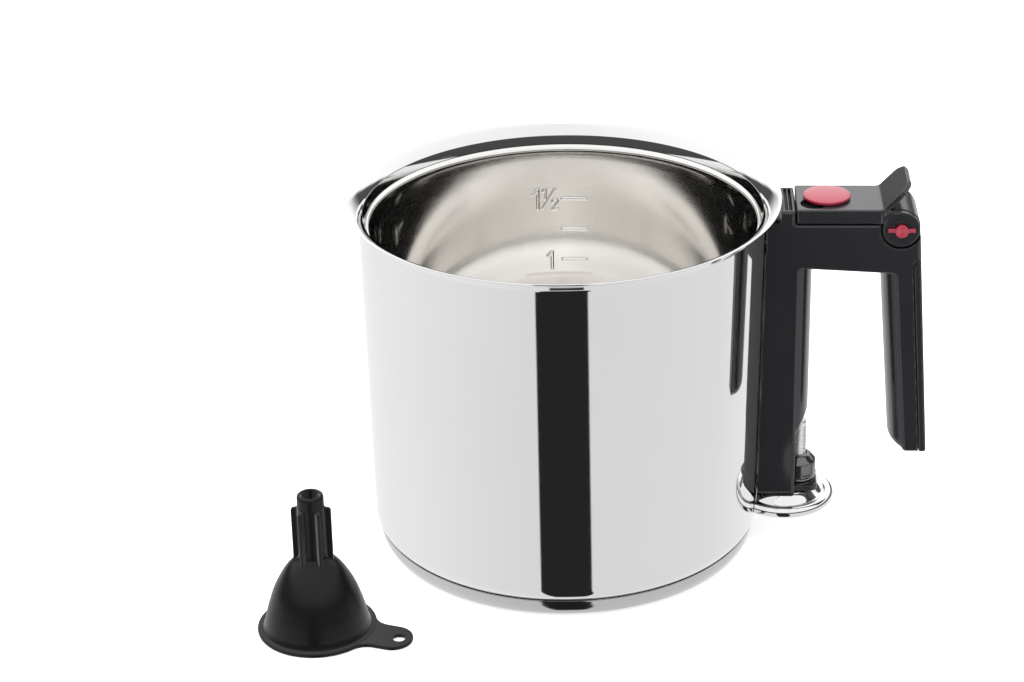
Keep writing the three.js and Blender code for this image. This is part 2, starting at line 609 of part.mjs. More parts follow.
// The cover's outline on the outer leg's back; growth opens it up for the seat it lies in.
function coverSide(growth) {
  const z0 = GRIP_END_Z - (growth ? 2 : 0);
  const z1 = COVER_TOP_Z + growth;
  const t = COVER_THICK + growth;
  const out = growth ? 5 : 0;
  return [
    [gripOuter(z0) - t, z0], [gripOuter(z0) + out, z0], [gripOuter(z1) + out, z1],
    [gripOuter(z1) - t + 1.6, z1], [gripOuter(z1) - t, z1 - 2.4],
  ];
}

add('handle_body', handleBody(), BLACK_PLASTIC);
add('grip_cover', slab(coverSide(0), HANDLE_WIDTH - 0.4, 0.8), BLACK_PLASTIC);
add('well_seat', turned(ringOf(WELL_RADIUS - 0.2, SEAT_RADIUS, SEAT_FLOOR_Z + GAP, SEAT_FLOOR_Z + GAP + SEAT_THICK),
  32, WELL_X, 0), SILICONE);

// ---- Nut, washer and insert on the stud ----
const WASHER_Z = FOOT_TOP_Z + GAP;
const NUT_Z = WASHER_Z + WASHER_THICK + GAP;
const INSERT_Z = NUT_Z + 0.8;

function thumbNut() {
  const r = NUT_RADIUS;
  const top = NUT_Z + NUT_HEIGHT;
  const bore = STUD_RADIUS + RUN + 0.1;
  let nut = turned([
    [bore, NUT_Z], [r - 0.6, NUT_Z], [r, NUT_Z + 0.6], [r, top - 3.4], [r - 1.0, top - 2.3],
    [r - 2.8, top - 0.6], [bore + 0.8, top], [bore, top - 0.3], [bore, NUT_Z],
  ], 32, STUD_X, 0);
  for (let i = 0; i < 6; i += 1) {
    const panel = new THREE.BoxGeometry(2, 4.2, NUT_HEIGHT - 5.2);
    panel.translate(r + 0.15, 0, NUT_Z + 1.2 + (NUT_HEIGHT - 5.2) / 2);
    panel.rotateZ((i + 0.5) * (Math.PI / 3));
    panel.translate(STUD_X, 0, 0);
    nut = nut.subtract(solid(panel));
  }
  return nut.subtract(rod('z', INSERT_RADIUS + GAP, NUT_Z - 1, INSERT_Z + INSERT_HEIGHT + GAP, [STUD_X, 0], 6));
}

add('stud_washer', turned(ringOf(STUD_RADIUS + RUN, WASHER_RADIUS, WASHER_Z, WASHER_Z + WASHER_THICK), 32, STUD_X, 0),
  SATIN_STEEL);
add('thumb_nut', thumbNut(), BLACK_PLASTIC);
add('nut_insert', rod('z', INSERT_RADIUS, INSERT_Z, INSERT_Z + INSERT_HEIGHT, [STUD_X, 0], 6)
  .subtract(rod('z', STUD_RADIUS + RUN, INSERT_Z - 1, INSERT_Z + INSERT_HEIGHT + 1, [STUD_X, 0])), BRASS);

// ---- Filler lever ----
const LEVER_X0 = COLLAR_END_X + GAP + 0.05;
const LEVER_X1 = PIVOT_X - LEVER_END_GAP;
const PLATE_Z = LEVER_TOP_Z - LEVER_PLATE;

function lever() {
  const h = HALF;
  const skirtEnd = PIVOT_X - CHEEK_RADIUS - 0.4;
  let body = plate([[LEVER_X0, -h], [LEVER_X1, -h], [LEVER_X1, h], [LEVER_X0, h]], PLATE_Z, LEVER_TOP_Z, 0.5);
  const rim = box(LEVER_X0 + 0.1, skirtEnd, -h, h, PLATE_Z - LEVER_SKIRT, PLATE_Z + 0.8)
    .subtract(box(LEVER_X0 + LEVER_WALL, skirtEnd + 5, -h + LEVER_WALL, h - LEVER_WALL,
      PLATE_Z - LEVER_SKIRT - 1, PLATE_Z + 2));
  body = body.add(rim);
  // cheeks each side, joined to the skirt
  for (const side of [-1, 1]) {
    const [y0, y1] = side < 0 ? [-h, -h + CHEEK_THICK] : [h - CHEEK_THICK, h];
    body = body.add(rod('y', CHEEK_RADIUS, y0, y1, [PIVOT_X, PIVOT_Z], 32));
    body = body.add(box(skirtEnd - 4, PIVOT_X, y0, y1, PLATE_Z - LEVER_SKIRT, PIVOT_Z + CHEEK_RADIUS));
  }
  // thumb tab, leaning out over the pivot
  const reach = TAB_LENGTH + 1;
  const tab = new THREE.ExtrudeGeometry(outline([
    [-1, -h + 0.8], [reach - TAB_CHAMFER, -h + 0.8], [reach - 0.8, -h + TAB_CHAMFER], [reach, -h + TAB_CHAMFER + 1.4],
    [reach, h - TAB_CHAMFER - 1.4], [reach - 0.8, h - TAB_CHAMFER], [reach - TAB_CHAMFER, h - 0.8], [-1, h - 0.8],
  ]), { depth: TAB_THICK - 0.8, bevelEnabled: true, bevelThickness: 0.4, bevelSize: 0.4, bevelOffset: -0.4,
    bevelSegments: 1 });
  tab.translate(0, 0, -TAB_THICK + 0.4);
  tab.rotateY(-THREE.MathUtils.degToRad(TAB_ANGLE));
  tab.translate(LEVER_X1 - 1.4, 0, LEVER_TOP_Z - 0.1);
  body = body.add(solid(tab));
  // slot for the button's stem, thumbnail notch, holes for the pin
  const slot = plate([
    ...arc(WELL_X, 0, STEM_RADIUS + 1.0, -90, 90, 8), ...arc(WELL_X - 3, 0, STEM_RADIUS + 1.0, 90, 270, 8),
  ], PLATE_Z - 2, LEVER_TOP_Z + 2);
  body = body.subtract(slot)
    .subtract(rod('z', NOTCH_RADIUS, LEVER_TOP_Z - 1.5, LEVER_TOP_Z + 3, [WELL_X - 5.4, -6.2], 32))
    .subtract(rod('y', PIN_RADIUS + RUN, -h - 2, h + 2, [PIVOT_X, PIVOT_Z]));
  return body;
}

// ---- Pivot pin and its clip ----
const PIN_HEAD_Y = -HALF - GAP;
const PIN_TAIL_Y = HALF + 2.0;
const CLIP_Y = HALF + GAP;

function pivotPin() {
  const at = [PIVOT_X, PIVOT_Z];
  return rod('y', PIN_RADIUS, PIN_HEAD_Y - 0.2, CLIP_Y - 0.05, at)
    .add(rod('y', PIN_RADIUS - 0.6, CLIP_Y - 0.1, PIN_TAIL_Y - 0.5, at))
    .add(rod('y', PIN_RADIUS, PIN_TAIL_Y - 0.6, PIN_TAIL_Y, at))
    .add(rod('y', PIN_KNOB, PIN_HEAD_Y - 1.9, PIN_HEAD_Y, at))
    .add(box(PIVOT_X - PIN_WING / 2, PIVOT_X + PIN_WING / 2, PIN_HEAD_Y - 0.9, PIN_HEAD_Y,
      PIVOT_Z - 0.9, PIVOT_Z + 0.9));
}

function pinClip() {
  const y1 = PIN_TAIL_Y - 0.6 - 0.3;
  return rod('y', PIN_RADIUS + 2, CLIP_Y, y1, [PIVOT_X, PIVOT_Z])
    .subtract(rod('y', PIN_RADIUS - 0.3, CLIP_Y - 1, y1 + 1, [PIVOT_X, PIVOT_Z]))
    .subtract(box(PIVOT_X - 1.1, PIVOT_X + 1.1, CLIP_Y - 1, y1 + 1, PIVOT_Z - 8, PIVOT_Z));
}

function leverSpring() {
  const wire = 0.45;
  const length = 6.4;
  const geometry = coil(PIN_RADIUS + 1.35, wire, length, 4, 40);
  geometry.rotateX(Math.PI / 2);
  geometry.translate(PIVOT_X, length / 2, PIVOT_Z);
  return solid(geometry);
}

add('filler_lever', lever(), LEVER_BLACK);
add('pivot_pin', pivotPin(), RED_PLASTIC);
add('pin_clip', pinClip(), SPRING_STEEL);
add('lever_spring', leverSpring(), SPRING_STEEL);

// ---- Button valve: button and stem, spring, seal and retainer ----
const SEAL_Z = SEAT_FLOOR_Z + GAP + SEAT_THICK + GAP;
const RETAINER_Z = SEAL_Z - GAP - RETAINER_THICK;
const BUTTON_Z = LEVER_TOP_Z + 0.25;

function valveButton() {
  const s = STEM_RADIUS;
  const r = BUTTON_RADIUS;
  const bulb = RETAINER_Z - GAP;
  return turned([
    [0, bulb - 1.2], [s, bulb - 1.2], [s + 0.7, bulb - 0.7], [s + 0.7, bulb], [s, bulb],
    [s, BUTTON_Z], [r - 0.3, BUTTON_Z], [r, BUTTON_Z + 0.3], [r, BUTTON_Z + BUTTON_EDGE - 0.3],
    [r - 0.4, BUTTON_Z + BUTTON_EDGE], [r * 0.6, BUTTON_Z + BUTTON_EDGE + BUTTON_DOME * 0.7],
    [0, BUTTON_Z + BUTTON_EDGE + BUTTON_DOME],
  ], 32, WELL_X, 0);
}

function valveSpring() {
  const wire = 0.4;
  const z0 = SEAL_Z + SEAL_THICK + GAP + wire;
  const height = PLATE_Z - GAP - wire - z0;
  const geometry = coil(STEM_RADIUS + 2.4, wire, height, 2.5, 28);
  geometry.translate(WELL_X, 0, z0);
  return solid(geometry);
}

add('valve_button', valveButton(), RED_PLASTIC);
add('valve_spring', valveSpring(), SPRING_STEEL);
add('valve_seal', turned(ringOf(STEM_RADIUS + GAP, SEAL_RADIUS, SEAL_Z, SEAL_Z + SEAL_THICK), 32, WELL_X, 0), SILICONE);
add('valve_retainer', turned(ringOf(STEM_RADIUS + GAP, RETAINER_RADIUS, RETAINER_Z, RETAINER_Z + RETAINER_THICK),
  24, WELL_X, 0), SPRING_STEEL);

// ---- Funnel, standing on its mouth ----
function funnel() {
  const m = FUNNEL_MOUTH;
  const w = FUNNEL_WALL;
  const n = FUNNEL_NECK_Z;
  const s = SPOUT_RADIUS;
  const h = FUNNEL_HEIGHT;
  const bell = [[0.875, 0.11], [0.847, 0.205], [0.79, 0.36], [0.685, 0.58], [0.532, 0.79], [0.405, 0.91], [0.3, 0.99]];
  const outside = bell.map(([u, v]) => [u * m, v * n]);
  const within = bell.slice(0, -1).map(([u, v]) => [u * m - w, v * n - w * 0.45]).reverse();
  const profile = [
    [m - w - 1.6, 0], [m, 0], [m, 1.5], [m - 2.1, 1.7], ...outside, [s, n + 0.6],
    [s - 0.2, h - 1], [s - 0.5, h], [s - w - 0.2, h], [s - w - 0.4, h - 0.4], [s - w, n - 0.6], ...within,
    [m - w - 1.6, 0],
  ];
  let body = turned(profile, 32);
  const ribOut = WELL_RADIUS - RIB_CLEARANCE;
  for (let i = 0; i < RIB_COUNT; i += 1) {
    const rib = slab([
      [s - 0.8, n - 3.4], [ribOut, n - 3.4], [ribOut, RIB_TOP_Z - 0.8], [ribOut - 0.8, RIB_TOP_Z], [s - 0.8, RIB_TOP_Z],
    ], RIB_THICK);
    body = body.add(rib.rotate([0, 0, (i * 360) / RIB_COUNT]));
  }
  const c = TAB_END - TAB_HALF_WIDTH;
  const tab = plate([
    [m - 2.4, -TAB_HALF_WIDTH - 1.6], [m + 2, -TAB_HALF_WIDTH - 0.2], ...arc(c, 0, TAB_HALF_WIDTH, -90, 90, 12),
    [m + 2, TAB_HALF_WIDTH + 0.2], [m - 2.4, TAB_HALF_WIDTH + 1.6],
  ], 0, 1.5).subtract(rod('z', HANG_HOLE, -2, 4, [c + 2.7, 0], 16))
    .subtract(turned([[0, -2], [m - 2, -2], [m - 2, 4], [0, 4]], 32));
  return body.add(tab.rotate([0, 0, TAB_DIRECTION])).translate([FUNNEL_X, FUNNEL_Y, 0]);
}

add('funnel', funnel(), FUNNEL_BLACK);

export default group;
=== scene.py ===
"""Looks for the double-walled melting pot: smooth pieces over the CAD frame, studio and camera.

Shapes are worked out in millimetres in the frame's own axes and scaled to metres when a mesh is made.
"""
import json
import math

import bpy
import numpy as np
from mathutils import Matrix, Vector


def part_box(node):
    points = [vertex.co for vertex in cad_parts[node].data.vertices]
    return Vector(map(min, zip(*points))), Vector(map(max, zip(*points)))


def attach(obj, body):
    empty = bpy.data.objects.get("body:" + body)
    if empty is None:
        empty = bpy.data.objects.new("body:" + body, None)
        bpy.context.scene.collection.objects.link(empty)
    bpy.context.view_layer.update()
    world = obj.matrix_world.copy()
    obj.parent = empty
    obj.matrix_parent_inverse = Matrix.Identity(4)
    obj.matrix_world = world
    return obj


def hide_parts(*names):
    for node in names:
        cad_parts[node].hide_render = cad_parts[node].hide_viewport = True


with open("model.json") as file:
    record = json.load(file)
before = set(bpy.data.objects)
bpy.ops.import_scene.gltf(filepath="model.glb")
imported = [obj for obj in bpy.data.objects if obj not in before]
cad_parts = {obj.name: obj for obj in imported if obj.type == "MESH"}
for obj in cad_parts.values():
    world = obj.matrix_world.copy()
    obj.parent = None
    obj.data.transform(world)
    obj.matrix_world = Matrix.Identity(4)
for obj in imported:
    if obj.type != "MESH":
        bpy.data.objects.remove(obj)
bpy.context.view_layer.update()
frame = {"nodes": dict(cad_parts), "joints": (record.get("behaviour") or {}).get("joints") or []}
MM = 0.001


# ---- Anchors read from the frame, in millimetres ----
def low(node):
    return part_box(node)[0] / MM


def high(node):
    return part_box(node)[1] / MM


def middle(node):
    return (low(node) + high(node)) / 2


JOINT = {joint["name"]: joint for joint in frame["joints"]}

POT_HEIGHT = high("outer_shell").z
LIP_RADIUS = high("outer_shell").x
LIP_OVERHANG = 5.5
BODY_RADIUS = LIP_RADIUS - LIP_OVERHANG
BODY_TAPER = 0.0147
SHELL_SHEET = 0.8
SHELL_FLOOR = low("outer_shell").z
SHELL_CORNER = 7.0
LIP_RISE = 5.3
LIP_SHARES = ((0, 0), (0.12, 0.22), (0.28, 0.45), (0.5, 0.69), (0.75, 0.88), (0.93, 0.975))
THROAT_Z = POT_HEIGHT - LIP_RISE
RIM_Z = POT_HEIGHT - 9.5
VESSEL_SHEET = 0.8
VESSEL_FLOOR = low("inner_vessel").z + VESSEL_SHEET
VESSEL_CORNER = 12.0
CAP_TOP_Z = high("base_cap").z
CAP_RADIUS = high("base_cap").y
STUD = middle("stud")
WELL = middle("valve_seal")
PIVOT_X = JOINT["lever_hinge"]["pos_m"][0] / MM
PIVOT_Z = JOINT["lever_hinge"]["pos_m"][2] / MM
HALF = high("handle_body").y
LEVER_LOW, LEVER_HIGH = low("filler_lever"), high("filler_lever")
FUNNEL_LOW, FUNNEL_HIGH = low("funnel"), high("funnel")


def wall_at(z):
    return BODY_RADIUS - BODY_TAPER * (POT_HEIGHT - z)


# ---- Mesh helpers ----
def new_object(name, verts, faces, sharp_deg=None, normals=None):
    mesh = bpy.data.meshes.new(name)
    mesh.from_pydata((np.asarray(verts, float) * MM).tolist(), [], faces)
    mesh.update()
    mesh.polygons.foreach_set("use_smooth", np.ones(len(mesh.polygons), bool))
    if sharp_deg is not None:
        mesh.set_sharp_from_angle(angle=math.radians(sharp_deg))
    if normals is not None:
        mesh.normals_split_custom_set_from_vertices(normals.tolist())
    obj = bpy.data.objects.new(name, mesh)
    bpy.context.scene.collection.objects.link(obj)
    return obj


def join_objects(name, parts):
    """One object of several, each with its own shading kept."""
    bpy.ops.object.select_all(action="DESELECT")
    for part in parts:
        part.select_set(True)
    bpy.context.view_layer.objects.active = parts[0]
    bpy.ops.object.join()
    parts[0].name = name
    parts[0].data.name = name
    return parts[0]


def spline(points, per=8):
    """A smooth line through the points, ends included."""
    pts = np.array(points, float)
    ext = np.vstack([2 * pts[0] - pts[1], pts, 2 * pts[-1] - pts[-2]])
    out = []
    for i in range(len(pts) - 1):
        p0, p1, p2, p3 = ext[i : i + 4]
        for k in range(per):
            t = k / per
            out.append(
                0.5
                * (
                    2 * p1
                    + (p2 - p0) * t
                    + (2 * p0 - 5 * p1 + 4 * p2 - p3) * t * t
                    + (3 * p1 - 3 * p2 + p3 - p0) * t ** 3
                )
            )
    out.append(pts[-1])
    return [tuple(p) for p in out]


def rounded(points, closed=False, steps=6):
    """Corner points (u, v) or (u, v, fillet radius) as a line with those corners rounded."""
    out = []
    count = len(points)
    for i, point in enumerate(points):
        radius = point[2] if len(point) > 2 else 0
        here = np.array(point[:2], float)
        if radius <= 0 or (not closed and i in (0, count - 1)):
            out.append(tuple(here))
            continue
        before = np.array(points[i - 1][:2], float)
        after = np.array(points[(i + 1) % count][:2], float)
        a, b = before - here, after - here
        la, lb = np.linalg.norm(a), np.linalg.norm(b)
        a, b = a / la, b / lb
        half = math.acos(max(-1.0, min(1.0, float(a @ b)))) / 2
        if half > math.pi / 2 - 0.02:
            out.append(tuple(here))
            continue
        reach = min(radius / math.tan(half), 0.49 * la, 0.49 * lb)
        radius = reach * math.tan(half)
        centre = here + (a + b) / np.linalg.norm(a + b) * (radius / math.sin(half))
        start, end = here + a * reach - centre, here + b * reach - centre
        t0 = math.atan2(start[1], start[0])
        turn = math.atan2(end[1], end[0]) - t0
        turn = (turn + math.pi) % (2 * math.pi) - math.pi
        for k in range(steps + 1):
            t = t0 + turn * k / steps
            out.append((centre[0] + radius * math.cos(t), centre[1] + radius * math.sin(t)))
    return out


def arc(cx, cy, radius, start, end, steps):
    angles = np.radians(np.linspace(start, end, steps + 1))
    return [(cx + radius * math.cos(t), cy + radius * math.sin(t)) for t in angles]


def lathe(name, profile, steps=160, at=(0.0, 0.0), sharp_deg=32):
    """A turned body: the profile runs from the axis back to the axis, or closes on itself."""
    pts = []
    for r, z in profile:
        if not pts or abs(r - pts[-1][0]) + abs(z - pts[-1][1]) > 1e-5:
            pts.append((max(r, 0.0), z))
    loop = pts[0][0] > 1e-6 or pts[-1][0] > 1e-6
    if loop and abs(pts[0][0] - pts[-1][0]) + abs(pts[0][1] - pts[-1][1]) < 1e-4:
        pts.pop()
    area = sum(a[0] * b[1] - b[0] * a[1] for a, b in zip(pts, pts[1:] + pts[:1]))
    if area < 0:
        pts.reverse()
    verts, rings = [], []
    angles = np.linspace(0, 2 * math.pi, steps, endpoint=False)
    for r, z in pts:
        if r < 1e-6:
            rings.append([len(verts)] * steps)
            verts.append((at[0], at[1], z))
        else:
            rings.append(list(range(len(verts), len(verts) + steps)))
            verts.extend((at[0] + r * math.cos(t), at[1] + r * math.sin(t), z) for t in angles)
    faces = []
    pairs = list(zip(rings, rings[1:] + rings[:1])) if loop else list(zip(rings, rings[1:]))
    for a, b in pairs:
        for i in range(steps):
            j = (i + 1) % steps
            quad = [a[i], a[j], b[j], b[i]]
            face = [v for k, v in enumerate(quad) if v != quad[k - 1]]
            if len(face) > 2:
                faces.append(face)
    return new_object(name, verts, faces, sharp_deg)


# ---- Distance fields, in millimetres ----
def join(a, b, k=0.4):
    h = np.clip(0.5 + 0.5 * (b - a) / k, 0, 1)
    return b * (1 - h) + a * h - k * h * (1 - h)


def cut(a, b, k=0.4):
    return -join(-a, b, k)


def both(a, b, k=0.4):
    return -join(-a, -b, k)


def prism(flat, across, half, edge):
    """A flat field given thickness, with its edges rounded."""
    u = flat + edge
    v = np.abs(across) - half + edge
    return np.minimum(np.maximum(u, v), 0) + np.hypot(np.maximum(u, 0), np.maximum(v, 0)) - edge


def block(x, y, z, span_x, span_y, span_z, edge):
    q = []
    for value, (a, b) in ((x, span_x), (y, span_y), (z, span_z)):
        q.append(np.abs(value - (a + b) / 2) - (b - a) / 2 + edge)
    outside = np.sqrt(sum(np.maximum(v, 0) ** 2 for v in q))
    return outside + np.minimum(np.maximum(np.maximum(q[0], q[1]), q[2]), 0) - edge


def rod(radial, along, span, radius, edge):
    return prism(radial - radius, along - (span[0] + span[1]) / 2, (span[1] - span[0]) / 2, edge)


def polygon(points):
    """The distance field of a closed outline."""
    pts = [tuple(p[:2]) for p in points]

    def field(u, v):
        best, side = None, None
        for (ax, ay), (bx, by) in zip(pts, pts[-1:] + pts[:-1]):
            ex, ey = bx - ax, by - ay
            if ex * ex + ey * ey < 1e-12:
                continue
            wx, wy = u - ax, v - ay
            t = np.clip((wx * ex + wy * ey) / (ex * ex + ey * ey), 0, 1)
            d = (wx - ex * t) ** 2 + (wy - ey * t) ** 2
            up, down, left = v >= ay, v < by, ex * wy > ey * wx
            flip = (up & down & left) | (~up & ~down & ~left)
            best = d if best is None else np.minimum(best, d)
            side = flip if side is None else side ^ flip
        return np.where(side, -1.0, 1.0) * np.sqrt(best)

    return field


def slope_of(field, co, step):
    grad = np.empty_like(co)
    for axis in range(3):
        ahead, behind = co.copy(), co.copy()
        ahead[:, axis] += step
        behind[:, axis] -= step
        grad[:, axis] = (field(*ahead.T) - field(*behind.T)) / (2 * step)
    return grad


def surface(name, field, lowest, highest, step):
    """The zero surface of a distance field, its points drawn exactly onto it."""
    axes = [np.arange(a - 2 * step, b + 3 * step, step) for a, b in zip(lowest, highest)]
    x, y, z = np.meshgrid(*axes, indexing="ij", sparse=True)
    shape = tuple(len(a) for a in axes)
    grid = np.broadcast_to(field(x, y, z), shape).astype(np.float32)
    inside = grid < 0
    cells = tuple(n - 1 for n in shape)
    corners = [(i, j, k) for i in (0, 1) for j in (0, 1) for k in (0, 1)]
    count = np.zeros(cells, np.uint8)
    for i, j, k in corners:
        count += inside[i : i + cells[0], j : j + cells[1], k : k + cells[2]]
    active = (count > 0) & (count < 8)
    at = np.argwhere(active)
    ids = np.full(cells, -1, np.int64)
    ids[active] = np.arange(len(at))
    value = {c: grid[at[:, 0] + c[0], at[:, 1] + c[1], at[:, 2] + c[2]] for c in corners}
    total, hits = np.zeros((len(at), 3)), np.zeros(len(at))
    for a in corners:
        for axis in range(3):
            if a[axis]:
                continue
            b = tuple(1 if n == axis else v for n, v in enumerate(a))
            cross = (value[a] < 0) != (value[b] < 0)
            t = np.where(cross, value[a] / np.where(cross, value[a] - value[b], 1), 0)
            for n in range(3):
                total[:, n] += cross * (t if n == axis else a[n])
            hits += cross
    origin = np.array([a[0] for a in axes])
    co = origin + (at + total / hits[:, None]) * step
    faces = []
    for axis in range(3):
        u, v = (axis + 1) % 3, (axis + 2) % 3
        first = [slice(1, -1)] * 3
        first[axis] = slice(0, -1)
        second = list(first)
        second[axis] = slice(1, None)
        a, b = inside[tuple(first)], inside[tuple(second)]
        shift = np.array([1, 1, 1])
        shift[axis] = 0
        for flag, flip in ((a & ~b, False), (~a & b, True)):
            p = np.argwhere(flag) + shift
            ring = []
            for du, dv in ((0, 0), (1, 0), (1, 1), (0, 1)):
                c = p.copy()
                c[:, u] -= du
                c[:, v] -= dv
                ring.append(ids[c[:, 0], c[:, 1], c[:, 2]])
            quads = np.stack(ring[::-1] if flip else ring, 1)
            faces.append(quads)
    faces = np.vstack(faces)
    for _ in range(3):
        grad = slope_of(field, co, 0.02)
        size = np.maximum((grad ** 2).sum(1), 0.05)
        move = grad * (field(*co.T) / size)[:, None]
        length = np.linalg.norm(move, axis=1, keepdims=True)
        co -= move * np.minimum(1, 0.5 * step / np.maximum(length, 1e-9))
    normals = slope_of(field, co, 0.06)
    normals /= np.maximum(np.linalg.norm(normals, axis=1, keepdims=True), 1e-9)
    return new_object(name, co, faces.tolist(), normals=normals)


# ---- Materials ----
def ramp(nodes, stops):
    node = nodes.new("ShaderNodeValToRGB")
    while len(node.color_ramp.elements) < len(stops):
        node.color_ramp.elements.new(0.5)
    for element, (position, value) in zip(node.color_ramp.elements, stops):
        element.position = position
        colour = value if isinstance(value, tuple) else (value, value, value)
        element.color = (*colour, 1)
    return node


def surface_material(name, colour, metallic=0.0, rough=(0.3, 0.4), grain=900.0, bump=0.04,
                     bump_height=0.00004, stretch=(1, 1, 1), drift=0.06, **sockets):
    """A procedural finish: drifting tone, and grain in roughness and bump."""
    mat = bpy.data.materials.new(name)
    mat.use_nodes = True
    nodes, links = mat.node_tree.nodes, mat.node_tree.links
    shader = nodes["Principled BSDF"]
    shader.inputs["Metallic"].default_value = metallic
    for socket, value in sockets.items():
        shader.inputs[socket.replace("_", " ")].default_value = value
    place = nodes.new("ShaderNodeTexCoord")
    mapping = nodes.new("ShaderNodeMapping")
    mapping.inputs["Scale"].default_value = stretch
    links.new(place.outputs["Object"], mapping.inputs["Vector"])
    fine = nodes.new("ShaderNodeTexNoise")
    fine.inputs["Scale"].default_value = grain
    fine.inputs["Detail"].default_value = 5
    links.new(mapping.outputs["Vector"], fine.inputs["Vector"])
    broad = nodes.new("ShaderNodeTexNoise")
    broad.inputs["Scale"].default_value = 14
    broad.inputs["Detail"].default_value = 3
    links.new(place.outputs["Object"], broad.inputs["Vector"])
    tone = ramp(nodes, [
        (0.3, tuple(c * (1 - drift) for c in colour)),
        (0.7, tuple(min(1, c * (1 + drift)) for c in colour)),
    ])
    links.new(broad.outputs["Fac"], tone.inputs["Fac"])
    links.new(tone.outputs["Color"], shader.inputs["Base Color"])
    spread = nodes.new("ShaderNodeMapRange")
    spread.inputs["From Min"].default_value = 0.3
    spread.inputs["From Max"].default_value = 0.7
    spread.inputs["To Min"].default_value = rough[0]
    spread.inputs["To Max"].default_value = rough[1]
    links.new(fine.outputs["Fac"], spread.inputs["Value"])
    links.new(spread.outputs["Result"], shader.inputs["Roughness"])
    relief = nodes.new("ShaderNodeBump")
    relief.inputs["Strength"].default_value = bump
    relief.inputs["Distance"].default_value = bump_height
    links.new(fine.outputs["Fac"], relief.inputs["Height"])
    links.new(relief.outputs["Normal"], shader.inputs["Normal"])
    return mat


BRUSHED_ROUND = (0.15, 0.15, 5.0)
FINISH = {
    "outer_shell": surface_material(
        "polished_steel", (0.90, 0.90, 0.90), 1.0, (0.025, 0.05), 260, 0.02, 0.00002, drift=0.01),
    "inner_vessel": surface_material(
        "satin_steel", (0.90, 0.888, 0.87), 1.0, (0.07, 0.1), 420, 0.01, 0.00001,
        BRUSHED_ROUND, drift=0.02),
    "base_core": surface_material("aluminium", (0.7, 0.72, 0.73), 1.0, (0.35, 0.5), 600, 0.1),
    "base_cap": surface_material(
        "brushed_steel", (0.63, 0.635, 0.64), 1.0, (0.06, 0.1), 420, 0.04, 0.00002,
        BRUSHED_ROUND, drift=0.02),
    "plain_steel": surface_material("plain_steel", (0.72, 0.72, 0.71), 1.0, (0.2, 0.34), 500, 0.08),
    "chrome": surface_material("chrome", (0.90, 0.90, 0.91), 1.0, (0.02, 0.045), 300, 0.01, 0.00001,
                               drift=0.01),
    "zinc": surface_material("zinc_plate", (0.92, 0.92, 0.93), 0.7, (0.2, 0.3), 600, 0.04, 0.00001),
    "brass": surface_material("brass", (0.78, 0.62, 0.32), 1.0, (0.2, 0.35), 500, 0.08),
    "spring_wire": surface_material("spring_wire", (0.66, 0.67, 0.69), 1.0, (0.16, 0.3), 900, 0.1),
    "silicone": surface_material("silicone", (0.10, 0.105, 0.11), 0.0, (0.6, 0.75), 1500, 0.15,
                                 0.00003),
    "handle_body": surface_material(
        "satin_black_plastic", (0.017, 0.0178, 0.0205), 0.0, (0.2, 0.23), 1400, 0.015, 0.00001,
        drift=0.1, Specular_IOR_Level=0.5, Coat_Weight=0.25, Coat_Roughness=0.16),
    "lever": surface_material(
        "lever_black_plastic", (0.017, 0.018, 0.021), 0.0, (0.22, 0.26), 1400, 0.02, 0.00001,
        drift=0.1, Specular_IOR_Level=0.65, Coat_Weight=0.45, Coat_Roughness=0.2),
    "nut": surface_material(
        "glossy_black_plastic", (0.022, 0.023, 0.026), 0.0, (0.1, 0.16), 1600, 0.05, 0.00002,
        drift=0.1, Specular_IOR_Level=1.0, Coat_Weight=1.0, Coat_Roughness=0.06, Coat_IOR=1.9),
    "red": surface_material(
        "red_plastic", (0.38, 0.012, 0.045), 0.0, (0.28, 0.36), 2200, 0.08, 0.00002, drift=0.05,
        Specular_IOR_Level=0.8, Coat_Weight=0.8, Coat_Roughness=0.25),
    "funnel": surface_material(
        "funnel_black_plastic", (0.0045, 0.0046, 0.005), 0.0, (0.26, 0.34), 2400, 0.12, 0.00002,
        drift=0.12, Specular_IOR_Level=0.3),
}


def finished(obj, finish, body, slot, *nodes):
    """Gives a piece its finish and body, and the CAD nodes it stands for; the slot argument is not
    used.
    """
    obj.data.materials.clear()
    obj.data.materials.append(FINISH[finish])
    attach(obj, body)
    if nodes:
        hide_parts(*nodes)
    return obj


# ---- Pot: shell, vessel, base ----
CORNER_R = wall_at(SHELL_FLOOR + SHELL_CORNER) - SHELL_CORNER
CORNER_Z = SHELL_FLOOR + SHELL_CORNER
THROAT_RADIUS = wall_at(THROAT_Z) - SHELL_SHEET - 0.8
THROAT_LEAN = 1.0  # the throat's face leans in towards the weld
STRIP_FOOT = THROAT_RADIUS - THROAT_LEAN


